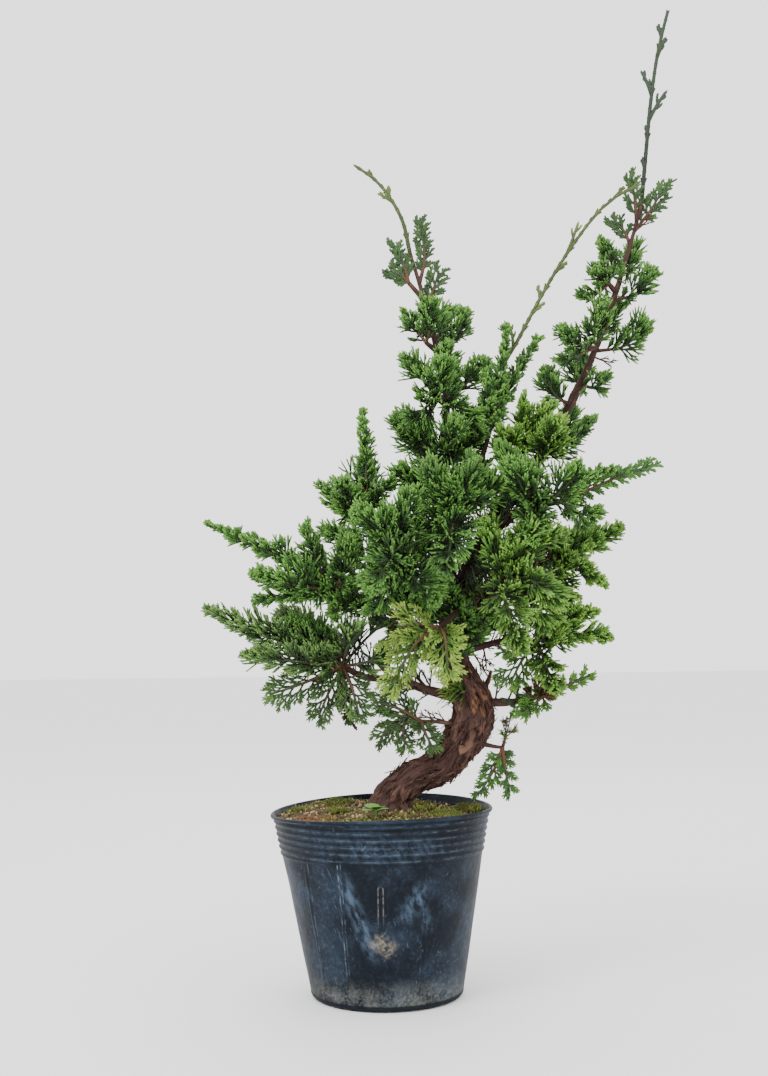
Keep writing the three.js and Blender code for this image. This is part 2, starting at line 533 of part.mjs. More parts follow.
function potSolid() {
  const rise = (z) => THREE.MathUtils.lerp(FOOT_RADIUS, RIM_RADIUS - 1.6, z / POT_HEIGHT);
  const outer = [
    [0, 0],
    [FOOT_RADIUS - 1.6, 0],
    [FOOT_RADIUS, 1.8],
    [rise(40), 40],
  ];
  const ribsEnd = POT_HEIGHT - RIM_BAND;
  const ribsStart = ribsEnd - RIB_COUNT * RIB_PITCH;
  for (let i = 0; i < RIB_COUNT; i++) {
    const z = ribsStart + i * RIB_PITCH;
    outer.push([rise(z), z], [rise(z) + RIB_DEPTH, z + RIB_PITCH / 2]);
  }
  outer.push([rise(ribsEnd), ribsEnd], [RIM_RADIUS, POT_HEIGHT - 1.2], [RIM_RADIUS - 0.4, POT_HEIGHT]);
  const inner = [
    [rise(POT_HEIGHT) - WALL, POT_HEIGHT],
    [rise(ribsStart) - WALL, ribsStart],
    [rise(40) - WALL, 40],
    [rise(WALL) - WALL, WALL],
    [0, WALL],
  ];
  const profilePoints = [...outer, ...inner].map(([r, z]) => new THREE.Vector2(r, z));
  const lathe = new THREE.LatheGeometry(profilePoints, POT_SIDES).rotateX(Math.PI / 2);
  let pot = solidOf(softened(lathe));
  if (pot.volume() < 0) throw new Error("the pot is inside out");
  for (let i = 0; i < DRAIN_COUNT; i++) {
    const angle = ((i + 0.5) * 2 * Math.PI) / DRAIN_COUNT;
    const drill = new THREE.CylinderGeometry(DRAIN_RADIUS, DRAIN_RADIUS, 6, 8).rotateX(Math.PI / 2);
    drill.translate(DRAIN_RING * Math.cos(angle), DRAIN_RING * Math.sin(angle), 0);
    pot = pot.subtract(solidOf(drill));
  }
  return pot;
}

// Height of the soil: a mound at the trunk and at the back left, and a hollow at the back right.
function soilHeight(x, y) {
  const hill = (cx, cy, width) => Math.exp(-((x - cx) ** 2 + (y - cy) ** 2) / (2 * width * width));
  const ripple = 0.5 * Math.sin(x * 0.31 + 1) * Math.sin(y * 0.27) + 0.3 * Math.sin(x * 0.7 - y * 0.5);
  const mounds = 2.5 * hill(4, 0, 16) + 3.4 * hill(-28, 22, 15) + 1.2 * hill(-38, -6, 12) - 2.4 * hill(36, 28, 15);
  return SOIL_LEVEL + mounds + ripple;
}

function soilSolid(raise) {
  const rise = (z) => THREE.MathUtils.lerp(FOOT_RADIUS, RIM_RADIUS - 1.6, z / POT_HEIGHT) - WALL - GAP;
  const top = rise(SOIL_EDGE);
  const profilePoints = [
    [0, WALL + GAP],
    [rise(WALL) - 0.5, WALL + GAP],
    [rise(40), 40],
    [top, SOIL_EDGE],
  ];
  for (let i = SOIL_RINGS - 1; i >= 0; i--) profilePoints.push([(top * i) / SOIL_RINGS, SOIL_LEVEL]);
  const lathe = new THREE.LatheGeometry(
    profilePoints.map(([r, z]) => new THREE.Vector2(r, z)),
    POT_SIDES,
  ).rotateX(Math.PI / 2);
  const at = lathe.getAttribute("position");
  for (let i = 0; i < at.count; i++) {
    const x = at.getX(i);
    const y = at.getY(i);
    if (at.getZ(i) > SOIL_LEVEL - 0.01) at.setZ(i, soilHeight(x, y));
    if (at.getZ(i) > SOIL_EDGE - 0.01) at.setZ(i, at.getZ(i) + raise);
  }
  return solidOf(softened(lathe));
}

function woodSolid(grow) {
  const pieces = [...wood.values()].map(({ curve, radiusAt, sides, steps }) =>
    tube(curve, radiusAt, sides, steps, grow),
  );
  return fused(pieces);
}

function cushionSolid(x, y, halfX, halfY, height) {
  const dome = new THREE.SphereGeometry(1, 9, 6).rotateX(Math.PI / 2);
  const at = dome.getAttribute("position");
  for (let i = 0; i < at.count; i++) {
    const [px, py, pz] = [at.getX(i), at.getY(i), at.getZ(i)];
    const lump = 1 + 0.12 * Math.sin(9 * px + x) * Math.cos(8 * py) * (1 - pz * pz);
    at.setXYZ(i, x + px * halfX * lump, y + py * halfY * lump, soilHeight(x, y) - 0.5 + pz * height);
  }
  return solidOf(dome);
}

function weedSolid() {
  const ground = soilHeight(WEED.x, WEED.y);
  const pieces = [];
  for (let i = 0; i < WEED.leaves; i++) {
    const turn = 0.5 + (i * 2 * Math.PI) / WEED.leaves;
    const outline = new THREE.Shape();
    outline.moveTo(0, 0);
    outline.bezierCurveTo(WEED.leafWidth * 0.7, 0.2, WEED.leafWidth * 0.7, WEED.leafLength, 0, WEED.leafLength * 0.88);
    outline.bezierCurveTo(-WEED.leafWidth * 0.7, WEED.leafLength, -WEED.leafWidth * 0.7, 0.2, 0, 0);
    const blade = new THREE.ExtrudeGeometry(outline, { depth: 0.8, bevelEnabled: false, curveSegments: 2 });
    blade.rotateX(0.25 + 0.2 * (i % 2));
    blade.translate(0, 0.6, WEED.stemHeight - 1.5 + 0.6 * (i % 2));
    blade.rotateZ(turn);
    blade.translate(WEED.x, WEED.y, ground);
    pieces.push(solidOf(blade));
  }
  const stem = new THREE.CylinderGeometry(1.3, 1.3, WEED.stemHeight, 5).rotateX(Math.PI / 2);
  stem.translate(WEED.x, WEED.y, ground + WEED.stemHeight / 2 - 1);
  return wasm.Manifold.union([...pieces, solidOf(stem)]);
}

const MATERIALS = {
  pot: new THREE.MeshStandardMaterial({ color: 0x1b242e, roughness: 0.5, metalness: 0 }),
  soil: new THREE.MeshStandardMaterial({ color: 0x6b5a34, roughness: 0.95, metalness: 0 }),
  bark: new THREE.MeshStandardMaterial({ color: 0x4a2f26, roughness: 0.9, metalness: 0 }),
  foliage: new THREE.MeshStandardMaterial({ color: 0x2f6b22, roughness: 0.7, metalness: 0 }),
  runner: new THREE.MeshStandardMaterial({ color: 0x77893f, roughness: 0.7, metalness: 0 }),
  moss: new THREE.MeshStandardMaterial({ color: 0x5f7f2c, roughness: 0.95, metalness: 0 }),
};

addTrunk();
addLimbs();
addStubs();
addRoots();
addTwigs();
for (const { curve, radiusAt, steps } of wood.values()) addCapsules("wood", curve, radiusAt, steps);
for (const stem of stems) addCapsules(stem.node, stem.curve, () => STEM_RADIUS, 8, stem.from);

const bonsai = new THREE.Group();
bonsai.name = "itoigawa_juniper_bonsai";
bonsai.add(meshOf("pot", potSolid(), MATERIALS.pot));

const treeWood = woodSolid(0);
const treeWoodGrown = woodSolid(GAP);
bonsai.add(meshOf("trunk_and_branches", treeWood, MATERIALS.bark));
bonsai.add(meshOf("soil", largestBody(soilSolid(0).subtract(treeWoodGrown)), MATERIALS.soil));

const soilRaised = soilSolid(GAP);
for (const [name, ...size] of MOSS_CUSHIONS) {
  const cushion = cushionSolid(...size).subtract(soilRaised).subtract(treeWoodGrown);
  bonsai.add(meshOf(name, largestBody(cushion), MATERIALS.moss));
}
bonsai.add(meshOf(WEED.name, largestBody(weedSolid().subtract(soilRaised)), MATERIALS.moss));

// Each node of foliage: cores first, so that every needle knows what it has to miss.
const cores = new Map(stems.map((stem) => [stem, coreOf(stem)]));
for (const stem of stems) {
  const { rings, tip } = cores.get(stem);
  rings.forEach((ring, i) => {
    const next = rings[i + 1] ?? { middle: tip, radius: 0 };
    capsules.push({ node: stem.node, a: ring.middle, b: next.middle, radius: Math.max(ring.radius, next.radius) });
  });
}
for (const node of new Set(stems.map((stem) => stem.node))) {
  const pieces = stems.filter((stem) => stem.node === node).map((stem) => leafyStem(stem, cores.get(stem)));
  const solid = largestBody(fused(pieces).subtract(treeWoodGrown));
  const isRunner = node.startsWith("runner");
  bonsai.add(meshOf(isRunner ? node : "foliage_" + node, solid, isRunner ? MATERIALS.runner : MATERIALS.foliage));
}
export default bonsai;
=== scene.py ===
"""Itoigawa juniper bonsai in its soft black nursery pot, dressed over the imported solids.

Lengths are in millimetres here and in metres in the meshes. The origin is the middle of the pot's underside,
+Z is up, +X is the side that the tree leans to and +Y is its back.
"""

from __future__ import annotations

import logging
import math
from dataclasses import dataclass, field, fields
from enum import Enum

import bpy
import numpy as np
from mathutils import Euler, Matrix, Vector

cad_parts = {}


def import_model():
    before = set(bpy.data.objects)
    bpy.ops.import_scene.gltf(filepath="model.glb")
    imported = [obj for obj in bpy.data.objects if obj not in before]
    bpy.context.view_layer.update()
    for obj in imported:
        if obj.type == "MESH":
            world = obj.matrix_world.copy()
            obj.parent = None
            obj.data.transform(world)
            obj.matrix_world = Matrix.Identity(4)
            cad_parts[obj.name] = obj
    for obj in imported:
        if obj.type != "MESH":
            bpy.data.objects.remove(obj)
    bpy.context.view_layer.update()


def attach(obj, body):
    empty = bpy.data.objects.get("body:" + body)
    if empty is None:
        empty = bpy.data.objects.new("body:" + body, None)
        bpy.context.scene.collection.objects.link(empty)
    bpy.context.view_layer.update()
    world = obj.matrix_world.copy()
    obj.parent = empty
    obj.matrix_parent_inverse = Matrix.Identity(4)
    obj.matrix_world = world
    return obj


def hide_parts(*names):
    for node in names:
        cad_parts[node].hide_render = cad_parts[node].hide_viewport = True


Array = np.ndarray
Draws = np.random.Generator
Colour = tuple[float, float, float]
Place = tuple[float, float, float]
Material = bpy.types.Material
Socket = bpy.types.NodeSocket

LOG = logging.getLogger("bonsai")
MM = 0.001
UP = np.array([0.0, 0.0, 1.0])
GOLDEN_ANGLE = 2.39996

# Driving dimensions of the pot and its soil, as in the solids
POT_HEIGHT = 100.0
RIM_RADIUS = 60.0
RIM_ROLL = 1.6
RIM_BEAD = 1.1
FOOT_RADIUS = 40.8
WALL = 1.0
RIB_COUNT = 6
RIB_PITCH = 3.6
RIB_DEPTH = 0.7
RIM_BAND = 2.4
POT_LEAN = -2.0
RIM_TILT = 1.35
RIM_BACK_TILT = 0.35
RIM_WAVE = 0.8
RIM_DROP = 1.1
DRAIN_COUNT = 6
DRAIN_RADIUS = 4.0
DRAIN_RING = 27.0
SOIL_LEVEL = 97.0
SOIL_EDGE = 95.8

# A leader's radius falls from its foot with this power of the length that it still has
LEADER_TAPER = 1.6

# The trunk: each point is x, y, z and the radius there
TRUNK = [
    (0, 0, 84, 9), (1, 0, 95, 12.5), (4, 0, 104, 9.8), (12, -1, 113, 8.4), (22, -1, 117.5, 9),
    (31, -1, 121, 8.8), (38, -1, 128.5, 9.4), (44, 0, 137, 11.2), (49, 0, 147, 11), (48, 1, 156, 10.6),
    (44, 2, 166, 8.6), (40, 3, 177, 6.9), (40, 4, 189, 6),
]

# The roots that show at the trunk's foot: where each one ends, and its radius at the trunk
ROOTS = [(-12, -6, 94, 4), (14, -13, 94, 3.6), (21, -4, 94, 3), (-8, 10, 94, 3.4), (10, 13, 94, 3)]

# Leaders and limbs: name, what it leaves, share of that one's length, radius at its start and end, points
LIMBS = [
    ("leader_right", "trunk", 1, 5.4, 1.3, (45, 7, 211), (49, 9, 229), (59, 11, 251), (71, 12, 268),
     (86, 13, 286), (99, 13, 308), (108, 12, 322), (119, 10, 345), (129, 8, 369), (138, 6, 396), (145, 5, 418),
     (150, 5, 437)),
    ("leader_left", "trunk", 1, 4.8, 1.2, (38, 2, 215), (36, 1, 240), (35, 0, 262), (34, 0, 281),
     (36, -1, 302), (37, -2, 320), (35, -3, 336), (32, -3, 352), (27, -4, 369), (23, -5, 387), (18, -5, 404)),
    ("limb_left_low", "trunk", 0.73, 3, 1.7, (25, -3, 162), (8, -7, 168), (-10, -10, 170), (-22, -12, 176)),
    ("limb_left_high", "trunk", 0.99, 2.6, 1.5, (20, -3, 197), (-1, -8, 207), (-26, -13, 216)),
    ("limb_left_apex", "leader_left", 0.12, 2.4, 1.5, (20, -2, 236), (4, -5, 246), (-8, -8, 260)),
    ("limb_bottom_left", "trunk", 0.62, 1.5, 1, (31, -9, 145), (20, -12, 146)),
    ("limb_front", "trunk", 0.98, 2.2, 1.4, (41, -14, 203), (38, -27, 203), (30, -38, 196)),
    ("limb_right_front", "leader_right", 0.02, 2.4, 1.4, (51, -18, 205), (65, -34, 219)),
    ("limb_right_mid", "leader_right", 0.25, 2.2, 1.4, (82, 0, 262), (98, -8, 264)),
    ("limb_right_wide", "leader_right", 0.08, 2.2, 1.4, (72, 2, 224), (94, 0, 234)),
    ("limb_right_low", "trunk", 0.94, 2.2, 1.4, (64, -1, 188), (84, -4, 188)),
    ("limb_right_stub", "trunk", 0.73, 2.8, 1.2, (66, -3, 155), (80, -5, 157), (90, -6, 161)),
    ("limb_right_bottom", "trunk", 0.56, 2, 1, (57, -6, 132), (64, -8, 131)),
    ("limb_front_left", "leader_left", 0.08, 2.2, 1.4, (26, -20, 226), (10, -36, 231)),
    ("limb_front_mid", "leader_left", 0.2, 2, 1.4, (38, -20, 250), (38, -34, 256)),
    ("limb_front_right", "leader_right", 0.2, 2, 1.4, (72, -12, 256), (84, -28, 262)),
    ("limb_back_left", "leader_left", 0.05, 2.4, 1.4, (22, 28, 214), (4, 42, 221)),
    ("limb_back_mid", "leader_left", 0.18, 2, 1.4, (35, 26, 246), (32, 42, 254)),
    ("limb_back_right", "leader_right", 0.05, 2.2, 1.4, (60, 30, 220), (76, 44, 229)),
    ("limb_back_low", "trunk", 0.85, 2, 1.4, (44, 28, 171), (40, 44, 175)),
    ("limb_left_tip", "leader_left", 0.88, 1.6, 1.4, (17, -8, 387)),
    ("limb_left_upper", "leader_left", 0.74, 1.8, 1.4, (26, -10, 353)),
    ("limb_left_middle", "leader_left", 0.6, 1.8, 1.4, (31, -11, 322)),
    ("limb_right_upper", "leader_right", 0.8, 1.8, 1.4, (129, -1, 387)),
    ("limb_right_middle", "leader_right", 0.68, 1.8, 1.4, (117, 0, 350)),
    ("limb_right_base", "leader_right", 0.38, 2, 1.5, (76, 3, 289)),
    ("limb_runner", "leader_left", 0.22, 2, 1.4, (50, -8, 272), (60, -12, 303)),
]

# Sprays: the limb that a spray leaves, where on its length, and for each stem its shoots' reach and its points
SPRAYS = {
    "runner_left": ("leader_left", 1, [(4, (14, -5, 423), (6, -6, 438), (-2, -7, 447), (-12, -8, 454))]),
    "left_tip_a": ("limb_left_tip", 1, [(8, (14, -8, 398), (10, -7, 408)), (8, (13, -9, 391), (8, -9, 393))]),
    "left_tip_b": ("leader_left", 0.92, [(6, (26, -3, 403), (24, -3, 422))]),
    "left_tip_c": ("leader_left", 0.86, [(8, (30, -2, 383), (34, -2, 395))]),
    "left_upper_a": ("limb_left_upper", 1, [
        (10, (21, -9, 360), (15, -9, 369)), (12, (28, -16, 361), (28, -23, 371)),
    ]),
    "left_upper_b": ("leader_left", 0.74, [(10, (43, -5, 359), (48, -6, 369))]),
    "left_upper_c": ("leader_left", 0.76, [(12, (37, 14, 365), (39, 24, 378))]),
    "left_middle_a": ("limb_left_middle", 1, [
        (11, (24, -12, 332), (15, -11, 342)), (13, (33, -20, 327), (33, -30, 336)),
        (13, (24, -17, 315), (15, -19, 306)), (13, (40, -17, 315), (51, -19, 308)),
    ]),
    "left_middle_b": ("leader_left", 0.6, [(10, (49, -5, 332), (57, -6, 342))]),
    "left_middle_c": ("leader_left", 0.6, [(14, (39, 20, 333), (42, 32, 348))]),
    "left_lower_a": ("leader_left", 0.46, [(15, (21, -9, 299), (10, -12, 308))]),
    "left_lower_b": ("leader_left", 0.45, [(14, (51, 6, 305), (63, 8, 316))]),
    "left_lower_c": ("leader_left", 0.42, [(14, (39, -22, 293), (40, -36, 304))]),
    "left_lower_d": ("leader_left", 0.46, [(14, (26, 22, 300), (18, 36, 313))]),
    "left_base_a": ("leader_left", 0.32, [(14, (21, -12, 272), (12, -16, 280))]),
    "left_base_b": ("leader_left", 0.33, [(15, (47, 16, 276), (59, 22, 288))]),
    "runner_right": ("leader_right", 1, [
        (4, (153, 5, 464), (156, 4, 491), (160, 3, 517), (163, 3, 530), (167, 2, 545)),
    ]),
    "right_tip_a": ("leader_right", 0.95, [(6, (145, 1, 438), (143, 0, 447))]),
    "right_tip_b": ("leader_right", 0.93, [(8, (155, 4, 431), (162, 3, 443))]),
    "right_tip_c": ("leader_right", 0.9, [(7, (140, 7, 419), (134, 7, 425))]),
    "right_upper_a": ("limb_right_upper", 1, [
        (9, (131, 0, 399), (126, 0, 410)), (11, (125, -8, 387), (121, -16, 389)),
        (10, (122, -3, 381), (114, -5, 379)),
    ]),
    "right_upper_b": ("leader_right", 0.78, [(11, (146, 4, 383), (154, 2, 393))]),
    "right_upper_c": ("leader_right", 0.83, [(10, (144, 18, 402), (149, 25, 415))]),
    "right_middle_a": ("limb_right_middle", 1, [
        (10, (110, 0, 354), (103, 1, 361)), (12, (120, -9, 358), (122, -18, 368)),
        (9, (109, -5, 345), (100, -7, 342)),
    ]),
    "right_middle_b": ("leader_right", 0.67, [(13, (138, 5, 353), (148, 2, 364))]),
    "right_middle_c": ("leader_right", 0.71, [(12, (131, 18, 366), (139, 26, 380))]),
    "right_lower_a": ("leader_right", 0.6, [(9, (119, 3, 329), (125, 1, 333))]),
    "right_lower_b": ("leader_right", 0.55, [(12, (98, 2, 325), (93, -3, 335))]),
    "right_lower_c": ("leader_right", 0.6, [(13, (114, 22, 335), (118, 32, 350))]),
    "right_base_a": ("leader_right", 0.47, [(8, (108, 4, 301), (118, 0, 310))]),
    "right_base_b": ("limb_right_base", 1, [
        (10, (79, -4, 304), (79, -12, 320)), (13, (71, -5, 293), (69, -14, 299)),
        (12, (85, -3, 303), (93, -10, 315)),
    ]),
    "right_base_c": ("leader_right", 0.4, [(14, (91, -18, 294), (95, -32, 304))]),
    "right_base_d": ("leader_right", 0.42, [(14, (104, 28, 303), (113, 42, 321))]),
    "runner_middle": ("limb_runner", 1, [
        (4, (69, -11, 342), (75, -11, 351), (81, -10, 362), (87, -10, 373), (100, -9, 395), (114, -9, 415),
         (122, -8, 425), (132, -8, 434), (146, -8, 441)),
        (7, (66, -15, 332), (70, -17, 358)), (8, (59, -13, 320), (59, -14, 338)),
        (7, (75, -9, 334), (87, -7, 353)),
    ]),
    "left_apex": ("limb_left_apex", 1, [
        (7, (-8, -9, 284), (-10, -9, 313)), (11, (-20, -10, 262), (-30, -10, 271)),
        (8, (-3, -16, 266), (6, -18, 275)), (14, (-16, -24, 261), (-21, -36, 271)),
        (15, (-9, 12, 271), (-9, 28, 291)),
    ]),
    "left_high": ("limb_left_high", 1, [
        (8, (-41, -17, 229), (-66, -20, 240), (-91, -20, 252)), (13, (-46, -25, 220), (-67, -30, 224)),
        (11, (-35, -20, 232), (-40, -24, 251)), (14, (-20, -30, 228), (-16, -44, 242)),
    ]),
    "left_low": ("limb_left_low", 1, [
        (13, (-45, -15, 186), (-65, -17, 194), (-93, -18, 206)), (13, (-44, -22, 167), (-60, -25, 162)),
        (11, (-30, -17, 161), (-35, -18, 149)), (15, (-37, 6, 190), (-57, 22, 206)),
        (12, (-19, -26, 186), (-11, -36, 196)), (13, (-11, -4, 189), (-1, 4, 198)),
        (12, (-10, -23, 178), (3, -27, 183)), (11, (-17, -20, 165), (-13, -24, 150)),
        (13, (-45, -27, 179), (-71, -31, 182)),
    ]),
    "bottom_left": ("limb_bottom_left", 1, [
        (9, (9, -13, 148), (-2, -15, 137)), (8, (11, -14, 145), (11, -15, 132)),
        (9, (8, -16, 153), (-4, -20, 157)), (7, (22, -17, 140), (26, -19, 132)),
    ]),
    "front_hanging": ("limb_front", 1, [
        (12, (17, -48, 188), (3, -55, 165)), (11, (14, -48, 198), (-2, -54, 189)),
        (11, (32, -50, 190), (33, -57, 171)),
    ]),
    "right_front": ("limb_right_front", 1, [
        (14, (75, -42, 238), (93, -46, 243)), (14, (75, -44, 221), (91, -50, 208)),
        (14, (64, -46, 210), (70, -56, 184)), (14, (60, -40, 233), (55, -42, 249)),
        (13, (78, -38, 210), (85, -36, 195)),
    ]),
    "right_tips": ("limb_right_mid", 1, [
        (5, (113, -10, 270), (127, -12, 276), (147, -14, 283)), (7, (111, -14, 275), (126, -17, 280)),
        (9, (111, -8, 257), (120, -8, 257)),
    ]),
    "right_wide": ("limb_right_wide", 1, [
        (12, (112, -2, 240), (131, -3, 248)), (10, (105, -14, 227), (117, -20, 219)),
        (13, (110, 16, 240), (125, 28, 243)), (13, (96, -9, 221), (100, -14, 206)),
    ]),
    "right_low": ("limb_right_low", 1, [
        (11, (103, -5, 192), (122, -6, 188)), (10, (100, -12, 200), (113, -20, 203)),
        (12, (87, -16, 178), (90, -24, 162)), (12, (75, -13, 178), (68, -19, 166)),
    ]),
    "right_stub": ("limb_right_stub", 1, [
        (5, (100, -7, 164), (111, -8, 169)), (8, (84, -14, 157), (74, -18, 149)),
    ]),
    "right_bottom": ("limb_right_bottom", 1, [
        (6, (60, -9, 121), (51, -11, 107)), (5, (65, -11, 120), (67, -12, 108)),
        (5, (67, -9, 141), (69, -8, 150)),
    ]),
    "front_left": ("limb_front_left", 1, [
        (14, (1, -46, 245), (-12, -54, 254)), (14, (5, -50, 231), (-5, -58, 217)),
        (13, (11, -46, 250), (15, -54, 264)), (14, (18, -42, 221), (26, -46, 211)),
        (14, (3, -37, 218), (-4, -35, 204)),
    ]),
    "front_middle": ("limb_front_mid", 1, [
        (14, (32, -46, 264), (25, -54, 277)), (14, (42, -46, 266), (49, -54, 279)),
        (14, (36, -48, 243), (33, -58, 224)), (14, (50, -39, 262), (62, -42, 271)),
        (14, (27, -41, 250), (14, -42, 245)),
    ]),
    "front_right": ("limb_front_right", 1, [
        (14, (95, -36, 267), (104, -44, 277)), (14, (75, -42, 267), (68, -52, 279)),
        (12, (80, -42, 250), (78, -54, 240)), (14, (73, -30, 276), (64, -27, 291)),
    ]),
    "back_left": ("limb_back_left", 1, [
        (15, (-15, 52, 244), (-33, 60, 254)), (15, (4, 58, 247), (6, 68, 267)),
        (15, (-12, 50, 220), (-28, 56, 211)),
    ]),
    "back_middle": ("limb_back_mid", 1, [
        (15, (30, 54, 282), (26, 64, 304)), (15, (47, 52, 272), (62, 60, 284)),
    ]),
    "back_right": ("limb_back_right", 1, [
        (15, (106, 52, 241), (126, 60, 252)), (14, (98, 54, 218), (106, 62, 200)),
        (14, (89, 58, 246), (93, 66, 265)),
    ]),
    "back_low": ("limb_back_low", 1, [(14, (22, 58, 186), (4, 70, 197)), (14, (54, 58, 191), (74, 68, 201))]),
}

# Forked branchlets on the long shoots: where one leaves the shoot, and its tip
RUNNER_FORKS = {
    "runner_left": [
        ((8, -6, 433), (0, -6, 439)), ((7, -6, 436), (6, -7, 443)), ((-2, -7, 447), (-5, -6, 452)),
    ],
    "runner_right": [
        ((151, 5, 455), (150, 3, 460)), ((155, 4, 474), (153, 4, 480)), ((156, 4, 482), (166, 3, 500)),
        ((156, 4, 497), (151, 4, 512)), ((160, 3, 519), (166, 3, 531)), ((163, 3, 531), (161, 4, 538)),
    ],
    "runner_middle": [
        ((74, -11, 349), (71, -12, 364)), ((84, -10, 368), (92, -11, 375)), ((89, -10, 377), (88, -8, 385)),
        ((97, -9, 391), (105, -10, 398)), ((104, -9, 402), (112, -9, 421)), ((119, -8, 421), (124, -9, 427)),
        ((132, -8, 434), (138, -7, 441)),
    ],
}

# Thin bare twigs: the limb, share of its length where they leave, the way they go, and their length
BARE_TWIGS = [
    ("limb_right_low", 0.2, (0.5, -0.3, -0.8), 17), ("limb_right_low", 0.35, (0.2, -0.4, -0.9), 18),
    ("limb_right_low", 0.5, (0.7, -0.2, -0.6), 16), ("limb_right_low", 0.3, (0.8, -0.5, 0.2), 14),
    ("limb_right_stub", 0.3, (0.2, -0.1, 1.0), 18), ("limb_right_stub", 0.45, (0.5, 0.2, 0.9), 15),
    ("limb_right_stub", 0.6, (0.3, -0.3, -0.9), 10), ("limb_left_low", 0.3, (-0.4, -0.2, 0.9), 13),
    ("limb_left_low", 0.45, (-0.7, -0.4, -0.6), 15), ("limb_left_low", 0.6, (-0.5, -0.3, -0.8), 18),
    ("limb_left_low", 0.75, (-0.6, 0.1, 0.8), 16), ("limb_left_high", 0.5, (-0.5, -0.2, -0.8), 14),
    ("limb_left_high", 0.75, (-0.8, -0.2, -0.5), 15), ("limb_bottom_left", 0.4, (-0.9, -0.1, 0.4), 15),
    ("limb_bottom_left", 0.7, (-0.8, -0.2, 0.5), 14), ("limb_right_wide", 0.5, (0.6, -0.2, -0.7), 15),
    ("limb_right_mid", 0.5, (0.7, -0.3, -0.5), 12), ("leader_right", 0.6, (0.7, -0.5, -0.5), 18),
    ("leader_right", 0.66, (0.8, 0.2, -0.4), 15), ("leader_right", 0.7, (-0.9, -0.3, 0.3), 14),
    ("leader_right", 0.86, (-0.9, -0.4, 0.2), 13), ("leader_right", 0.93, (0.8, -0.3, 0.5), 12),
    ("leader_left", 0.62, (-0.9, -0.3, -0.3), 13), ("leader_left", 0.8, (-0.9, -0.2, -0.2), 14),
    ("leader_left", 0.5, (0.8, -0.4, 0.2), 12), ("leader_left", 0.15, (-0.6, -0.7, 0.2), 13),
    ("limb_back_left", 0.5, (-0.6, 0.3, -0.6), 14), ("limb_back_right", 0.5, (0.5, 0.3, -0.7), 14),
    ("limb_back_low", 0.6, (0.2, 0.6, -0.7), 14), ("limb_right_bottom", 1, (0.3, 0.1, 1.0), 17),
]

# Stems that grow as loose flat sprays: places in each spray's list
OPEN_STEMS = {
    "front_hanging": (0, 1, 2), "left_low": (1, 2, 7), "bottom_left": (0, 1, 2, 3), "right_stub": (0, 1),
    "left_tip_a": (0, 1), "left_tip_b": (0,), "left_tip_c": (0,), "right_tip_a": (0,), "right_tip_b": (0,),
    "right_tip_c": (0,), "right_tips": (0,), "right_low": (3,), "right_bottom": (0, 1),
}

# How green an open spray is, unless it is a bright one
OPEN_ALIVE = 0.78

# Gaps where light shows through the lower crown: middle x and z, half width and height
LIGHT_GAPS = [(-4.5, 195, 8, 7), (-14, 180.5, 12, 9.5), (-54, 180.5, 6, 6)]

# Inner twigs: limb, first and last share, how many, length
THICKET = [
    ("trunk", 0.88, 1.0, 34, 22), ("leader_left", 0.0, 0.5, 90, 24), ("leader_right", 0.0, 0.45, 110, 24),
    ("limb_left_low", 0.3, 1.0, 40, 18), ("limb_left_high", 0.3, 1.0, 40, 20),
    ("limb_left_apex", 0.3, 1.0, 30, 20), ("limb_right_front", 0.3, 1.0, 40, 20),
    ("limb_right_low", 0.4, 1.0, 26, 18), ("limb_right_wide", 0.3, 1.0, 34, 20),
    ("limb_front_left", 0.4, 1.0, 26, 16), ("limb_front_mid", 0.4, 1.0, 26, 16),
    ("limb_front_right", 0.4, 1.0, 26, 16), ("limb_back_left", 0.3, 1.0, 34, 20),
    ("limb_back_mid", 0.3, 1.0, 30, 20), ("limb_back_right", 0.3, 1.0, 34, 20),
]

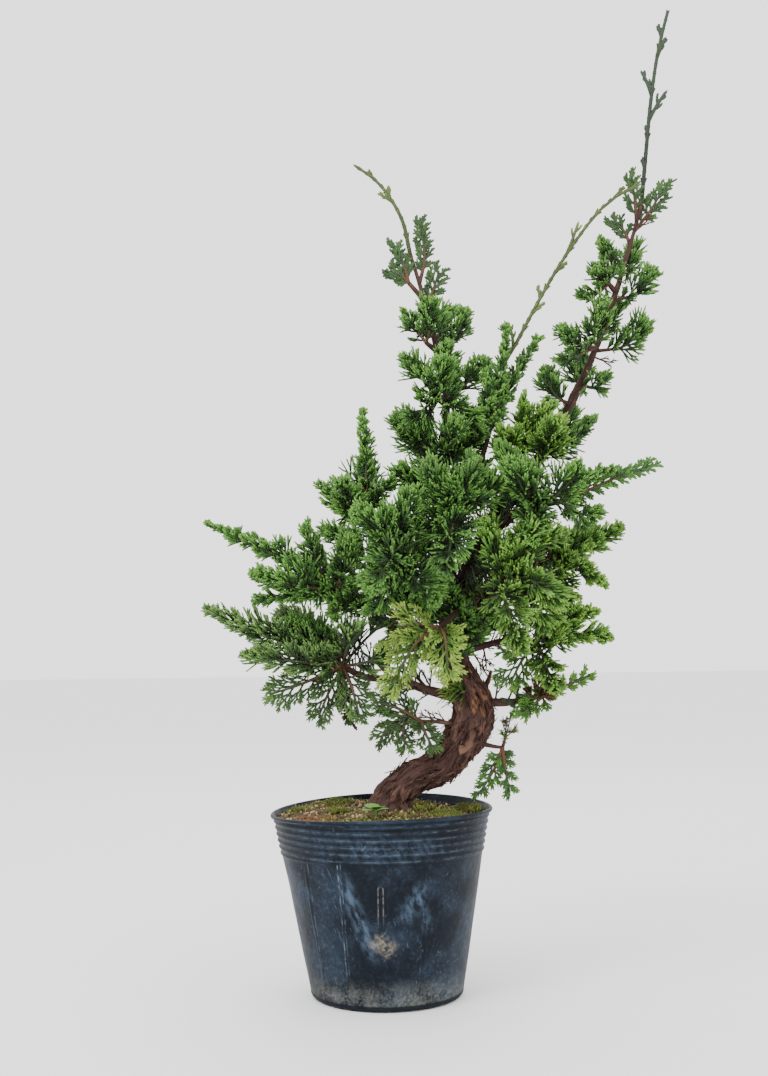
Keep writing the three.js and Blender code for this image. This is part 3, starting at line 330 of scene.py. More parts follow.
# Inner tufts: limb, share, points, how far shoots reach, and for dead and half-dead ones how green they are
EXTRA_STEMS = {
    "heart_a": ("leader_right", 0.04, [(52, -8, 206), (54, -20, 214)], 12),
    "heart_b": ("leader_left", 0.1, [(30, -8, 214), (24, -20, 210)], 12),
    "heart_c": ("leader_right", 0.12, [(66, -8, 234), (70, -18, 240)], 12),
    "heart_d": ("leader_left", 0.2, [(26, -8, 242), (22, -18, 238)], 12),
    "heart_e": ("leader_right", 0.22, [(76, -6, 270), (80, -12, 282)], 12),
    "heart_f": ("trunk", 0.97, [(48, -8, 192), (52, -16, 200)], 11),
    "heart_g": ("limb_left_low", 0.62, [(-4, -14, 178), (-12, -20, 184)], 11),
    "heart_h": ("limb_left_low", 1, [(-34, -10, 188), (-50, -12, 200)], 12),
    "heart_i": ("leader_left", 0.68, [(36, -12, 341), (37, -18, 348)], 10),
    "heart_o": ("limb_left_high", 0.5, [(-20, -16, 210), (-26, -22, 203)], 11),
    "heart_p": ("limb_left_high", 1, [(-50, -18, 215), (-66, -20, 212)], 10),
    "heart_q": ("leader_left", 0.44, [(50, -8, 296), (56, -14, 302)], 10),
    "dead_left": ("limb_left_low", 0.98, [(-22, -14, 164), (-18, -14, 146)], 6, 0.08),
    "heart_j": ("trunk", 0.93, [(42, -8, 180), (38, -20, 188)], 10),
    "heart_k": ("trunk", 0.99, [(44, -10, 196), (45, -24, 204)], 11),
    "heart_l": ("leader_left", 0.04, [(38, -10, 205), (36, -22, 216)], 11),
    "heart_m": ("leader_left", 0.02, [(24, -12, 206), (12, -20, 214)], 12),
    "heart_n": ("limb_front_left", 0.6, [(14, -34, 214), (12, -38, 204)], 11),
    "dead_right": ("limb_right_stub", 0.85, [(80, -9, 158), (87, -11, 160)], 11, 0.05),
    "dead_stub": ("limb_right_stub", 0.6, [(72, -10, 157), (77, -14, 153)], 9, 0.5),
    "dead_back": ("limb_back_right", 0.6, [(74, 34, 216), (80, 36, 206)], 7, 0.08),
}

# Moss cushions: name, middle x and y, half widths, height
MOSS_CUSHIONS = [
    ("moss_right", 34, -18, 10, 8, 3), ("moss_left", -25, 20, 9, 7, 3), ("moss_edge", 46, 8, 6, 5, 4),
]

# Tufts of taller moss: middle x and y, spread, height, how many leaves
MOSS_TUFTS = [
    (24, -6, 2.6, 4.4, 70), (50, -10, 2.2, 5.0, 70), (-23, -6, 2.6, 3.4, 110), (-45, 8, 3.0, 3.0, 90),
    (-14, -38, 4.0, 2.2, 130), (14, -42, 3.0, 2.2, 90), (10, 34, 3.5, 4.0, 90),
]

# How the wood's bars are made, by the first word of their names: rings, sides, depth of the bark
BARS = {"trunk": (196, 98, 2.1), "leader": (150, 20, 0.55), "root": (24, 18, 0.6), "limb": (34, 12, 0.3)}

# Shreds of bark: what they lie on, how many, length, half thickness, lift, first and last share
SHREDS = [
    ("trunk", 520, 6.5, 0.42, 0.35, (0.16, 0.97)),
    ("trunk", 130, 3.4, 0.95, 0.75, (0.22, 0.9)),
    ("trunk", 340, 4.2, 0.26, 0.6, (0.57, 0.72)),
    ("leader_right", 150, 5.5, 0.3, 0.35, (0.0, 0.6)),
    ("leader_left", 110, 5.0, 0.3, 0.35, (0.0, 0.6)),
]

# Dead stubs: points, radius at the start and end, strength of the knots
DEAD_STUBS = [
    ([(46, -6, 144), (47.5, -12, 139.5), (45.8, -15, 134), (43.5, -15.6, 131), (40, -15.4, 130.6)], 2.0, 1.9, 0.2),
    ([(50, 0, 158), (57, 6, 165), (60, 9, 172)], 3.0, 1.2, 0.08),
]


class Habit(Enum):
    """How a leafy stem grows."""

    TUFT = "tuft"
    SHOOT = "shoot"
    NEEDLES = "needles"


class LeafTone(Enum):
    """The leafy finishes: colours of old growth, of green growth and of the tips."""

    GREEN = ((0.038, 0.063, 0.029), (0.061, 0.150, 0.037), (0.175, 0.375, 0.066))
    FRESH = ((0.044, 0.074, 0.029), (0.088, 0.208, 0.036), (0.250, 0.46, 0.074))
    BRIGHT = ((0.036, 0.062, 0.022), (0.120, 0.225, 0.034), (0.35, 0.49, 0.090))
    GREY = ((0.038, 0.056, 0.032), (0.055, 0.110, 0.038), (0.12, 0.21, 0.065))
    OLIVE = ((0.044, 0.058, 0.031), (0.066, 0.136, 0.042), (0.185, 0.33, 0.082))
    SHOOT = ((0.045, 0.055, 0.028), (0.085, 0.120, 0.042), (0.16, 0.22, 0.070))
    DARK_SHOOT = ((0.026, 0.034, 0.026), (0.045, 0.066, 0.040), (0.062, 0.078, 0.064))


# Sprays that aren't plain green
TONED_SPRAYS = {
    LeafTone.FRESH: ("right_front", "right_stub", "right_low", "right_base_b", "right_base_c", "right_wide"),
    LeafTone.BRIGHT: ("front_hanging",),
    LeafTone.GREY: ("left_tip_a", "left_tip_b", "left_tip_c", "right_tip_a", "right_tip_b", "right_tip_c"),
    LeafTone.OLIVE: ("left_low", "bottom_left"),
    LeafTone.SHOOT: ("runner_left", "runner_middle"),
    LeafTone.DARK_SHOOT: ("runner_right",),
}
SPRAY_TONES = {name: tone for tone, names in TONED_SPRAYS.items() for name in names}


def soften(points: Array) -> Array:
    """Gives points of the pot and soil the soft pot's lean, its oval and its tilted, waved rim.

    With up = z / height, x and y grow by 1 + up^2 (0.008 cos(2a + 0.6) + 0.004 cos(3a + 2)), x moves by the lean
    times up, and z rises by up^2 times the tilt, less the wave across the rim.

    Args:
        points: places in millimetres, the last axis being x, y, z.

    Returns:
        The moved places, in the same shape.
    """
    x, y, z = points[..., 0], points[..., 1], points[..., 2]
    up = np.clip(z / POT_HEIGHT, 0, 1.1)
    angle = np.arctan2(y, x)
    bulge = 1 + up * up * (0.008 * np.cos(2 * angle + 0.6) + 0.004 * np.cos(3 * angle + 2))
    side, deep = x / RIM_RADIUS, y / RIM_RADIUS
    rise = RIM_TILT * side + RIM_BACK_TILT * deep - RIM_WAVE * (side**2 - deep**2) - RIM_DROP
    return np.stack([x * bulge + POT_LEAN * up, y * bulge, z + rise * up * up], axis=-1)


def soil_height(x: Array, y: Array) -> Array:
    """Height of the soil: Gaussian mounds at the trunk and back left, a hollow at the back right, and ripples."""

    def hill(cx: float, cy: float, width: float) -> Array:
        """A Gaussian of that width about cx, cy."""
        return np.exp(-((x - cx) ** 2 + (y - cy) ** 2) / (2 * width * width))

    ripple = 0.5 * np.sin(x * 0.31 + 1) * np.sin(y * 0.27) + 0.3 * np.sin(x * 0.7 - y * 0.5)
    mounds = 2.5 * hill(4, 0, 16) + 3.4 * hill(-28, 22, 15) + 1.2 * hill(-38, -6, 12) - 2.4 * hill(36, 28, 15)
    return SOIL_LEVEL + mounds + ripple


def wall_radius(z: Array | float) -> Array:
    """Radius of the pot's plain cone at a height: it grows evenly from the foot to the wall under the rim."""
    return FOOT_RADIUS + (RIM_RADIUS - RIM_ROLL - FOOT_RADIUS) * np.asarray(z) / POT_HEIGHT


def unit(vectors: Array) -> Array:
    """The vectors at length one."""
    return vectors / np.maximum(np.linalg.norm(vectors, axis=-1, keepdims=True), 1e-9)


@dataclass(frozen=True)
class Noise:
    """Smooth value noise on a lattice of seeded random numbers that repeats every 32 steps."""

    seed: int = 7

    def at(self, points: Array) -> Array:
        """Noise from 0 to 1 at points, blended between the eight lattice corners by 3t^2 - 2t^3 along each axis."""
        lattice = np.random.default_rng(self.seed).random((32, 32, 32))
        low = np.floor(points).astype(int)
        part = points - low
        part = part * part * (3 - 2 * part)
        total = np.zeros(points.shape[:-1])
        for corner in np.ndindex(2, 2, 2):
            at = (low + corner) % 32
            weight = np.prod(np.where(corner, part, 1 - part), axis=-1)
            total += weight * lattice[at[..., 0], at[..., 1], at[..., 2]]
        return total

    def fractal(self, points: Array, octaves: int = 4) -> Array:
        """Noise summed over octaves, each at twice the pitch and half the strength, from 0 to 1."""
        total = sum(self.at(points * 2**k + 5.3 * k) / 2**k for k in range(octaves))
        return total / sum(1 / 2**k for k in range(octaves))


@dataclass
class Path:
    """A smooth line through points: a Catmull-Rom curve of tension one half, measured along its length."""

    points: Array | list
    dense: Array = field(init=False)
    shares: Array = field(init=False)
    length: float = field(init=False)

    def __post_init__(self) -> None:
        """Works out 40 points on each stretch, by Hermite's cubic with half the chord of the neighbours as slope."""
        p = np.asarray(self.points, float)
        p = np.vstack([2 * p[0] - p[1], p, 2 * p[-1] - p[-2]])
        t = np.linspace(0, 1, 41)[None, :, None]
        a, b, c, d = (p[k : len(p) - 3 + k, None] for k in range(4))
        v0, v1 = (c - a) / 2, (d - b) / 2
        curve = (2 * b - 2 * c + v0 + v1) * t**3 + (-3 * b + 3 * c - 2 * v0 - v1) * t**2 + v0 * t + b
        self.dense = np.vstack([curve[:, :-1].reshape(-1, 3), curve[-1, -1]])
        run = np.concatenate([[0], np.cumsum(np.linalg.norm(np.diff(self.dense, axis=0), axis=1))])
        self.length = float(run[-1])
        self.shares = run / self.length

    def at(self, shares: Array | float) -> Array:
        """The places at shares of the length; past either end it goes straight on."""
        shares = np.asarray(shares, float)
        inside = np.stack([np.interp(shares, self.shares, self.dense[:, k]) for k in range(3)], axis=-1)
        over = shares - np.clip(shares, 0, 1)
        ends = np.where(over[..., None] > 0, self.dense[-1] - self.dense[-3], self.dense[2] - self.dense[0])
        return inside + unit(ends) * over[..., None] * self.length

    def ways(self, shares: Array | float) -> Array:
        """The unit direction at shares of the length, from two places 2% apart."""
        shares = np.clip(np.asarray(shares, float), 0, 1)
        return unit(self.at(np.minimum(shares + 0.01, 1)) - self.at(np.maximum(shares - 0.01, 0)))


def across(ways: Array, hint: Array | tuple) -> tuple[Array, Array]:
    """Two unit directions square to ways and to each other, the first one nearest to a hint.

    Args:
        ways: unit directions.
        hint: a direction, or one for each of the ways.

    Returns:
        The two directions, which turn right-handed about the way.
    """
    hint = np.broadcast_to(hint, ways.shape)
    first = unit(hint - ways * np.sum(hint * ways, axis=-1, keepdims=True))
    return first, np.cross(ways, first)


def turned(ways: Array, hint: Array | tuple, turn: Array) -> Array:
    """Unit directions square to ways and turned about them: cos(turn) times the first of across, sin the second.

    Args:
        ways: unit directions, of shape (n, 3).
        hint: as for across.
        turn: one angle for each way, or a row of them for each way, or a single row for all.

    Returns:
        One direction for each way, or a row of them.
    """
    first, second = (side.reshape(len(ways), *(1,) * (turn.ndim - 1), 3) for side in across(ways, hint))
    return first * np.cos(turn)[..., None] + second * np.sin(turn)[..., None]


def even_turns(count: int) -> Array:
    """That many angles spread evenly round a circle, from 0."""
    return np.arange(count) * 2 * math.pi / count


@dataclass
class Shape:
    """Vertices, triangles and numbers on the vertices of one piece, gathered part by part."""

    places: list[Array] = field(default_factory=list)
    corners: list[Array] = field(default_factory=list)
    values: dict[str, list[Array]] = field(default_factory=dict)
    count: int = 0

    def add(self, places: Array, corners: Array, **values: Array | float) -> None:
        """Adds a part, with the same names of values for every part of a shape."""
        self.places.append(places.reshape(-1, 3))
        self.corners.append(corners.reshape(-1, 3) + self.count)
        for name, value in values.items():
            flat = np.broadcast_to(np.asarray(value, float), places.shape[:-1]).reshape(-1)
            self.values.setdefault(name, []).append(flat)
        self.count += self.places[-1].shape[0]

    def tubes(self, rings: Array, start: Array | None, end: Array, **values: Array) -> None:
        """Adds closed tubes.

        Args:
            rings: places of shape (tube, ring, side, 3), each ring turning right-handed about the tube's way.
            start: the pole that closes each tube at its first ring, or None where a ring of three is closed flat.
            end: the pole that closes it at its last ring.
            values: numbers of shape (tube, ring) or (tube, ring, side), carried by the vertices.
        """
        tubes, ring_count, sides = rings.shape[:3]
        poles = [end] if start is None else [end, start]
        places = np.concatenate([rings.reshape(tubes, -1, 3), *(pole[:, None] for pole in poles)], axis=1)
        ring, side = np.meshgrid(np.arange(ring_count - 1), np.arange(sides), indexing="ij")
        a = ring * sides + side
        b = ring * sides + (side + 1) % sides
        walls = np.stack([a, b, b + sides, a, b + sides, a + sides], axis=-1).reshape(-1, 3)
        k = np.arange(sides)
        turn = (k + 1) % sides
        last = (ring_count - 1) * sides
        top = np.stack([np.full(sides, ring_count * sides), last + k, last + turn], axis=-1)
        foot = np.stack([np.full(sides, ring_count * sides + 1), turn, k], axis=-1)
        foot = np.array([[0, 2, 1]]) if start is None else foot
        corners = np.concatenate([walls, foot, top])[None] + (np.arange(tubes) * places.shape[1])[:, None, None]
        numbers = {}
        for name, value in values.items():
            value = np.asarray(value, float)
            value = np.broadcast_to(value if value.ndim == 3 else value[..., None], (tubes, ring_count, sides))
            ends = value[:, [-1, 0][: len(poles)]].mean(axis=2)
            numbers[name] = np.concatenate([value.reshape(tubes, -1), ends], axis=1)
        self.add(places, corners, **numbers)

    def piece(self, name: str, material: Material, slot: str, replaces: tuple[str, ...] = ()) -> bpy.types.Object:
        """Makes the gathered shape an object in metres that rides on the part.

        Args:
            name: the object's name.
            material: its finish.
            slot: the record's material slot; not used.
            replaces: the solids that it stands for.

        Returns:
            The new object.
        """
        places = np.concatenate(self.places) * MM
        corners = np.concatenate(self.corners).astype(np.int32)
        mesh = bpy.data.meshes.new(name)
        mesh.vertices.add(len(places))
        mesh.vertices.foreach_set("co", places.astype(np.float32).ravel())
        mesh.loops.add(corners.size)
        mesh.loops.foreach_set("vertex_index", corners.ravel())
        mesh.polygons.add(len(corners))
        mesh.polygons.foreach_set("loop_start", np.arange(0, corners.size, 3, dtype=np.int32))
        mesh.polygons.foreach_set("use_smooth", np.ones(len(corners), bool))
        mesh.update(calc_edges=True)
        for value_name, parts in self.values.items():
            attribute = mesh.attributes.new(value_name, "FLOAT", "POINT")
            attribute.data.foreach_set("value", np.concatenate(parts).astype(np.float32))
        piece = bpy.data.objects.new(name, mesh)
        bpy.context.scene.collection.objects.link(piece)
        mesh.materials.append(material)
        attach(piece, "root")
        if replaces:
            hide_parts(*replaces)
        LOG.info("%s: %d triangles", name, len(corners))
        return piece


def bar_rings(path: Path, shares: Array, radii: Array, sides: int, hint: Array | tuple) -> Array:
    """Rings of a bar along a path: its place plus the radius times the directions square to its way.

    Args:
        path: the bar's middle line.
        shares: where on it the rings are.
        radii: the radius of each ring, or of each of its vertices.
        sides: vertices of a ring.
        hint: the direction nearest to which each ring starts.

    Returns:
        Places of shape (1, ring, side, 3).
    """
    spokes = turned(path.ways(shares), hint, even_turns(sides)[None])
    radii = radii[:, None, None] if radii.ndim == 1 else radii[..., None]
    return (path.at(shares)[:, None] + spokes * radii)[None]


class Value:
    """A number socket whose arithmetic adds Math nodes to its graph."""

    def __init__(self, graph: Graph, socket: Socket) -> None:
        """Keeps the graph and the socket."""
        self.graph = graph
        self.socket = socket

    def _math(self, operation: str, *inputs: Value | float) -> Value:
        """A Math node of that operation on the inputs."""
        node = self.graph.node("ShaderNodeMath", {"operation": operation}, dict(enumerate(inputs)))
        return Value(self.graph, node.outputs[0])

    def __add__(self, other: Value | float) -> Value:
        """self + other."""
        return self._math("ADD", self, other)

    __radd__ = __add__

    def __sub__(self, other: Value | float) -> Value:
        """self - other."""
        return self._math("SUBTRACT", self, other)

    def __mul__(self, other: Value | float) -> Value:
        """self * other."""
        return self._math("MULTIPLY", self, other)

    __rmul__ = __mul__

    def __truediv__(self, other: Value | float) -> Value:
        """self / other."""
        return self._math("DIVIDE", self, other)

    def __pow__(self, other: float) -> Value:
        """self to a power."""
        return self._math("POWER", self, other)

    def sine(self) -> Value:
        """The sine of the value."""
        return self._math("SINE", self)

    def above(self, other: float) -> Value:
        """The larger of it and a number."""
        return self._math("MAXIMUM", self, other)

    def distance_to(self, other: float) -> Value:
        """How far the value is from a number."""
        return self._math("ABSOLUTE", self - other)

    def step(self, low: float, high: float) -> Value:
        """0 below low, 1 above high and smooth between; with low above high it falls instead."""
        settings = {"interpolation_type": "SMOOTHSTEP"}
        node = self.graph.node("ShaderNodeMapRange", settings, {"Value": self, "From Min": low, "From Max": high})
        return Value(self.graph, node.outputs["Result"])


class Graph:
    """The node graph of one material."""

    def __init__(self, name: str) -> None:
        """Starts an empty material of that name."""
        self.material = bpy.data.materials.new(name)
        self.material.use_nodes = True
        self.tree = self.material.node_tree
        self.tree.nodes.clear()
        self.place = self.node("ShaderNodeTexCoord").outputs["Object"]

    def node(self, kind: str, settings: dict | None = None, inputs: dict | None = None) -> bpy.types.Node:
        """Adds a node.

        Args:
            kind: the node's type.
            settings: its properties, set first; stops is a ramp's list of (place, colour).
            inputs: values or links of its sockets, by name or number.

        Returns:
            The node.
        """
        node = self.tree.nodes.new(kind)
        for name, value in (settings or {}).items():
            if name == "stops":
                ramp = node.color_ramp.elements
                while len(ramp) < len(value):
                    ramp.new(0.5)
                for element, (place, colour) in zip(ramp, value):
                    element.position = place
                    element.color = (*colour, 1)
            else:
                setattr(node, name, value)
        for name, value in (inputs or {}).items():
            link = value.socket if isinstance(value, Value) else value
            if isinstance(link, Socket):
                self.tree.links.new(link, node.inputs[name])
            else:
                node.inputs[name].default_value = value
        return node

    def carried(self, name: str) -> Value:
        """A number that the mesh carries on its vertices."""
        return Value(self, self.node("ShaderNodeAttribute", {"attribute_name": name}).outputs["Fac"])

    def axes(self) -> tuple[Value, Value, Value]:
        """The object's x, y and z, in metres."""
        split = self.node("ShaderNodeSeparateXYZ", None, {0: self.place})
        return tuple(Value(self, output) for output in split.outputs)

    def scaled(self, x: float, y: float, z: float, tilt: float = 0.0) -> Socket:
        """The object's place tilted about y and with its axes scaled, to stretch a pattern."""
        tilted = self.node("ShaderNodeMapping", None, {"Vector": self.place, "Rotation": (0, tilt, 0)})
        inputs = {"Vector": tilted.outputs[0], "Scale": (x, y, z)}
        return self.node("ShaderNodeMapping", None, inputs).outputs[0]

    def noise(self, scale: float, detail: float = 3.0, place: Socket | None = None) -> Value:
        """Noise of that many waves a metre, from 0 to 1."""
        inputs = {"Vector": place or self.place, "Scale": scale, "Detail": detail, "Roughness": 0.6}
        return Value(self, self.node("ShaderNodeTexNoise", None, inputs).outputs["Fac"])

    def ramp(self, value: Value, *stops: tuple[float, Colour]) -> Socket:
        """A colour from stops along a value."""
        return self.node("ShaderNodeValToRGB", {"stops": stops}, {0: value}).outputs["Color"]

    def mix(self, share: Value, low: object, high: object) -> Socket:
        """One colour blended into another by a share."""
        low, high = ((*c, 1) if isinstance(c, tuple) else c for c in (low, high))
        node = self.node("ShaderNodeMix", {"data_type": "RGBA"}, {0: share, 6: low, 7: high})
        return node.outputs[2]

    def relief(self, height: Value, depth_mm: float) -> Socket:
        """A bumped normal from a height of 0 to 1 that stands for that depth."""
        inputs = {"Height": height, "Distance": depth_mm * MM, "Strength": 1.0}
        return self.node("ShaderNodeBump", None, inputs).outputs["Normal"]

    def finish(self, colour: object, roughness: Value | float, **sockets: object) -> Material:
        """Closes the graph with a Principled shader.

        Args:
            colour: the base colour's socket.
            roughness: number or link.
            sockets: other sockets, with _ for a space.

        Returns:
            The material.
        """
        inputs = {"Base Color": colour, "Roughness": roughness}
        inputs |= {name.replace("_", " "): value for name, value in sockets.items()}
        shader = self.node("ShaderNodeBsdfPrincipled", None, inputs)
        self.node("ShaderNodeOutputMaterial", None, {"Surface": shader.outputs[0]})
        return self.material


@dataclass(frozen=True)
class PotVinyl:
    """Soft blue-black vinyl: pale on its ribs' crests, part wear and part painted highlight, with painted shade in the
    grooves between them, worn pale on its mouldings, scratched, limed, and dusty along the foot.

    Lengths are in metres. A lime line is its place across the front as a share of the radius there, its half width
    and its strength. A smear is its middle x and z, its angle, its half length and half width, and its strength.
    """

    dark: Colour = (0.0035, 0.0055, 0.0095)
    haze: Colour = (0.024, 0.038, 0.060)
    # pale of the ribs' crests: part wear and part painted highlight
    crest_wear_and_highlight: Colour = (0.085, 0.115, 0.150)
    # painted shade for the grooves between the ribs
    groove_shade: Colour = (0.002, 0.003, 0.006)
    lime: Colour = (0.17, 0.23, 0.30)
    edge: Colour = (0.19, 0.19, 0.18)
    smear: Colour = (0.115, 0.175, 0.26)
    dirt: Colour = (0.25, 0.215, 0.155)
    dust: Colour = (0.17, 0.18, 0.165)
    arch_left: float = 0.0028
    arch_top: float = 0.0640
    arch_radius: float = 0.0013
    lime_lines: tuple = ((-0.405, 0.010, 0.5), (-0.375, 0.008, 0.35), (-0.70, 0.009, 0.2), (0.44, 0.009, 0.12))
    smears: tuple = (
        ((-0.0115, 0.0490), -1.19, (0.028, 0.0058), 0.42), ((0.0165, 0.0560), 1.05, (0.014, 0.0060), 0.32),
        ((0.022, 0.0500), 1.9, (0.012, 0.0050), 0.22), ((0.004, 0.084), 0.0, (0.034, 0.009), 0.18),
    )
    blot: tuple = ((0.0010, 0.0350), -0.6, (0.0080, 0.0068), 0.72)

    def ribs(self, z: Value) -> tuple[Value, Value]:
        """Masks of the ribs' crests and of the grooves between them, from a sine wave of the ribs' pitch."""
        end = (POT_HEIGHT - RIM_BAND) * MM
        start = end - RIB_COUNT * RIB_PITCH * MM
        wave = ((z - start) * (2 * math.pi / (RIB_PITCH * MM)) - math.pi / 2).sine()
        window = z.step(start - 0.0005, start + 0.0005) * z.step(end + 0.0005, end - 0.0005)
        return wave.step(0.55, 0.98) * window, wave.step(-0.2, -0.95) * window

    def streak(self, x: Value, z: Value, spot: tuple[float, float], way: float, size: tuple[float, float]) -> Value:
        """A soft-edged band: spot is its middle x and z, way its angle, and size its half length and half width."""
        east, north = x - spot[0], z - spot[1]
        along = (east * math.cos(way) + north * math.sin(way)).distance_to(0.0)
        over = (north * math.cos(way) - east * math.sin(way)).distance_to(0.0)
        return along.step(size[0], size[0] * 0.5) * over.step(size[1], size[1] * 0.15)

    def worn(self, g: Graph, z: Value) -> Socket:
        """Clouded and flecked black, with the ribs' crests pale, part wear and part painted highlight, and painted
        shade in their grooves.
        """
        cloud = g.noise(42, 8).step(0.42, 0.70)
        fleck = g.noise(520, 8).step(0.46, 0.72)
        base = g.mix(cloud * 0.5 + fleck * 0.55 * (0.3 + cloud), self.dark, self.haze)
        crest, groove_shade = self.ribs(z)
        crest_rub_and_highlight = g.noise(260, 8, g.scaled(1, 1, 2.5)).step(0.36, 0.70)
        # the ribs' crests go pale: part wear, part painted highlight
        base = g.mix(crest * crest_rub_and_highlight * 0.42, base, self.crest_wear_and_highlight)
        # painted shade: the grooves between the ribs are darkened
        return g.mix(groove_shade * 0.8, base, self.groove_shade)

    def lined(self, g: Graph, base: Socket, x: Value, z: Value, front: Value) -> Socket:
        """Adds broken lime lines down the front, and the arch's pale edge round its dark middle."""
        share = x / (z * ((RIM_RADIUS - RIM_ROLL - FOOT_RADIUS) / POT_HEIGHT) + FOOT_RADIUS * MM)
        broken = g.noise(420, 6, g.scaled(1, 1, 0.4)).step(0.44, 0.66) * z.step(0.079, 0.076) * z.step(0.014, 0.02)
        broken = broken * front
        for place, width, strength in self.lime_lines:
            line = share.distance_to(place).step(width, width * 0.2)
            base = g.mix(line * broken * strength, base, self.lime)
        rise = (z - self.arch_top).above(0.0)
        arch = ((x * x + rise * rise) ** 0.5).distance_to(self.arch_radius).step(0.00055, 0.0001)
        arch = arch * front * z.step(0.044, 0.052)
        base = g.mix(arch * g.noise(500, 5).step(0.3, 0.6) * 0.5, base, self.edge)
        middle = x.distance_to(0.0).step(0.0011, 0.0006) * z.step(0.016, 0.022) * z.step(0.066, 0.064)
        return g.mix(middle * front * 0.6, base, self.dark)

    def stained(self, g: Graph, base: Socket, x: Value, z: Value, front: Value) -> Socket:
        """Adds the pale smears and the blot of dirt."""
        veil = g.noise(380, 9, g.scaled(1, 1, 0.45, 0.4)).step(0.36, 0.66)
        smear = sum(self.streak(x, z, *place) * strength for *place, strength in self.smears)
        base = g.mix(smear * veil * front, base, self.smear)
        *place, strength = self.blot
        blot = self.streak(x, z, *place) * g.noise(420, 9).step(0.34, 0.72)
        return g.mix(blot * front * strength, base, self.dirt)

    def scratched(self, g: Graph, base: Socket) -> Socket:
        """Adds two sets of slanted hairlines, specks and scuffs, all thicker in some places."""
        fine = g.noise(1000, 3, g.scaled(1, 1, 0.08, 0.35)).step(0.655, 0.70)
        fine = fine + g.noise(900, 3, g.scaled(1, 1, 0.09, -0.7)).step(0.66, 0.71)
        fine = fine + g.noise(1700, 2).step(0.68, 0.76) + g.noise(240, 9).step(0.60, 0.72) * 0.5
        where = 0.12 + g.noise(38, 4).step(0.42, 0.62) * 0.9
        return g.mix(fine * where * 0.32, base, self.lime)

    def build(self) -> Material:
        """The material, with dust towards the foot and a painted shadow line where it meets the floor."""
        g = Graph("pot_vinyl")
        x, y, z = g.axes()
        x = x + self.arch_left
        front = y.step(0.0, -0.01)
        base = self.lined(g, self.worn(g, z), x, z, front)
        base = self.scratched(g, self.stained(g, base, x, z, front))
        low = z.step(0.019, 0.004) * (g.noise(130, 9).step(0.36, 0.62) * 0.5 + g.noise(700, 9).step(0.40, 0.66) * 0.5)
        base = g.mix(low * 0.62, base, self.dust)
        # painted shadow: the lowest 3 mm go back to the dark vinyl where the pot meets the floor
        base = g.mix(z.step(0.0034, 0.0024) * 0.9, base, self.dark)
        rough = 0.38 + 0.2 * g.noise(90, 5) + low * 0.4
        relief = g.noise(300, 8) * 0.6 + g.noise(60, 2) * 1.2
        return g.finish(base, rough, Normal=g.relief(relief, 0.35), Specular_IOR_Level=0.1)


@dataclass(frozen=True)
class Bark:
    """Reddish-brown fibrous bark, dark in its cracks, with paler peeled strips and bare grey-tan dead wood."""

    crack: Colour = (0.010, 0.006, 0.005)
    fibre: Colour = (0.066, 0.036, 0.031)
    peel: Colour = (0.20, 0.105, 0.072)
    grimy: Colour = (0.036, 0.024, 0.022)
    # painted shade: the bark's colour where the crown shades it
    painted_shade: Colour = (0.016, 0.011, 0.010)
    torn: Colour = (0.30, 0.135, 0.060)
    dead: Colour = (0.30, 0.165, 0.10)
    torn_x: float = 0.053
    torn_z: float = 0.156

    def build(self) -> Material:
        """The material. relief is 0 in a crack and 1 on a ridge, pale is the share of bare dead wood."""
        g = Graph("bark")
        relief = g.carried("relief")
        streak = g.noise(1100, 4, g.scaled(1, 1, 0.4))
        tone = relief * 0.7 + streak * 0.45
        colour = g.ramp(tone, (0.24, self.crack), (0.5, self.fibre), (0.7, self.fibre), (0.95, self.peel))
        colour = g.mix(g.noise(150, 3).step(0.55, 0.7) * 0.35, colour, self.peel)
        colour = g.mix(g.noise(70, 3).step(0.5, 0.7) * 0.5, colour, self.grimy)
        x, y, z = g.axes()
        # painted shade: bark from 0.175 to 0.34 m up is darkened as if in the crown's shadow
        colour = g.mix(z.step(0.175, 0.205) * z.step(0.34, 0.29) * 0.6, colour, self.painted_shade)
        torn = x.distance_to(self.torn_x).step(0.008, 0.002) * z.distance_to(self.torn_z).step(0.010, 0.003)
        torn = torn * y.step(0.002, -0.004)
        colour = g.mix(torn * relief.step(0.35, 0.85) * streak.step(0.35, 0.6) * 0.75, colour, self.torn)
        colour = g.mix(g.carried("pale"), colour, self.dead)
        return g.finish(colour, 0.85, Normal=g.relief(streak, 0.35), Specular_IOR_Level=0.08)


@dataclass(frozen=True)
class ScaleLeaf:
    """Cord-like branchlets of overlapping scale leaves, from dark old green to yellow-green tips."""

    tone: LeafTone
    wood: Colour = (0.12, 0.055, 0.03)
    scale_waves: float = 4.4

    def build(self) -> Material:
        """The material. fresh is 0 at the woody base and 1 at a tip, tint varies by shoot, along is in millimetres."""
        g = Graph(f"leaf_{self.tone.name.lower()}")
        old, green, tip = self.tone.value
        fresh, tint = g.carried("fresh"), g.carried("tint")
        age = fresh + (tint - 0.5) * 0.2
        colour = g.ramp(age, (0.04, self.wood), (0.17, old), (0.34, old), (0.66, green), (1.0, tip))
        colour = g.mix(tint.step(0.7, 1.0) * 0.4, colour, tip)
        colour = g.mix(g.noise(40, 2).step(0.45, 0.65) * 0.45, colour, old)
        scale = (g.carried("along") * self.scale_waves).sine() * 0.5 + 0.5
        # painted shade: the troughs between the scale leaves, the low parts of the bump, are darkened towards the old
        # green
        colour = g.mix(scale.step(0.35, 0.0) * 0.3, colour, old)
        rough = 0.5 + 0.15 * g.noise(500, 2)
        return g.finish(colour, rough, Normal=g.relief(scale, 0.2), Specular_IOR_Level=0.1)


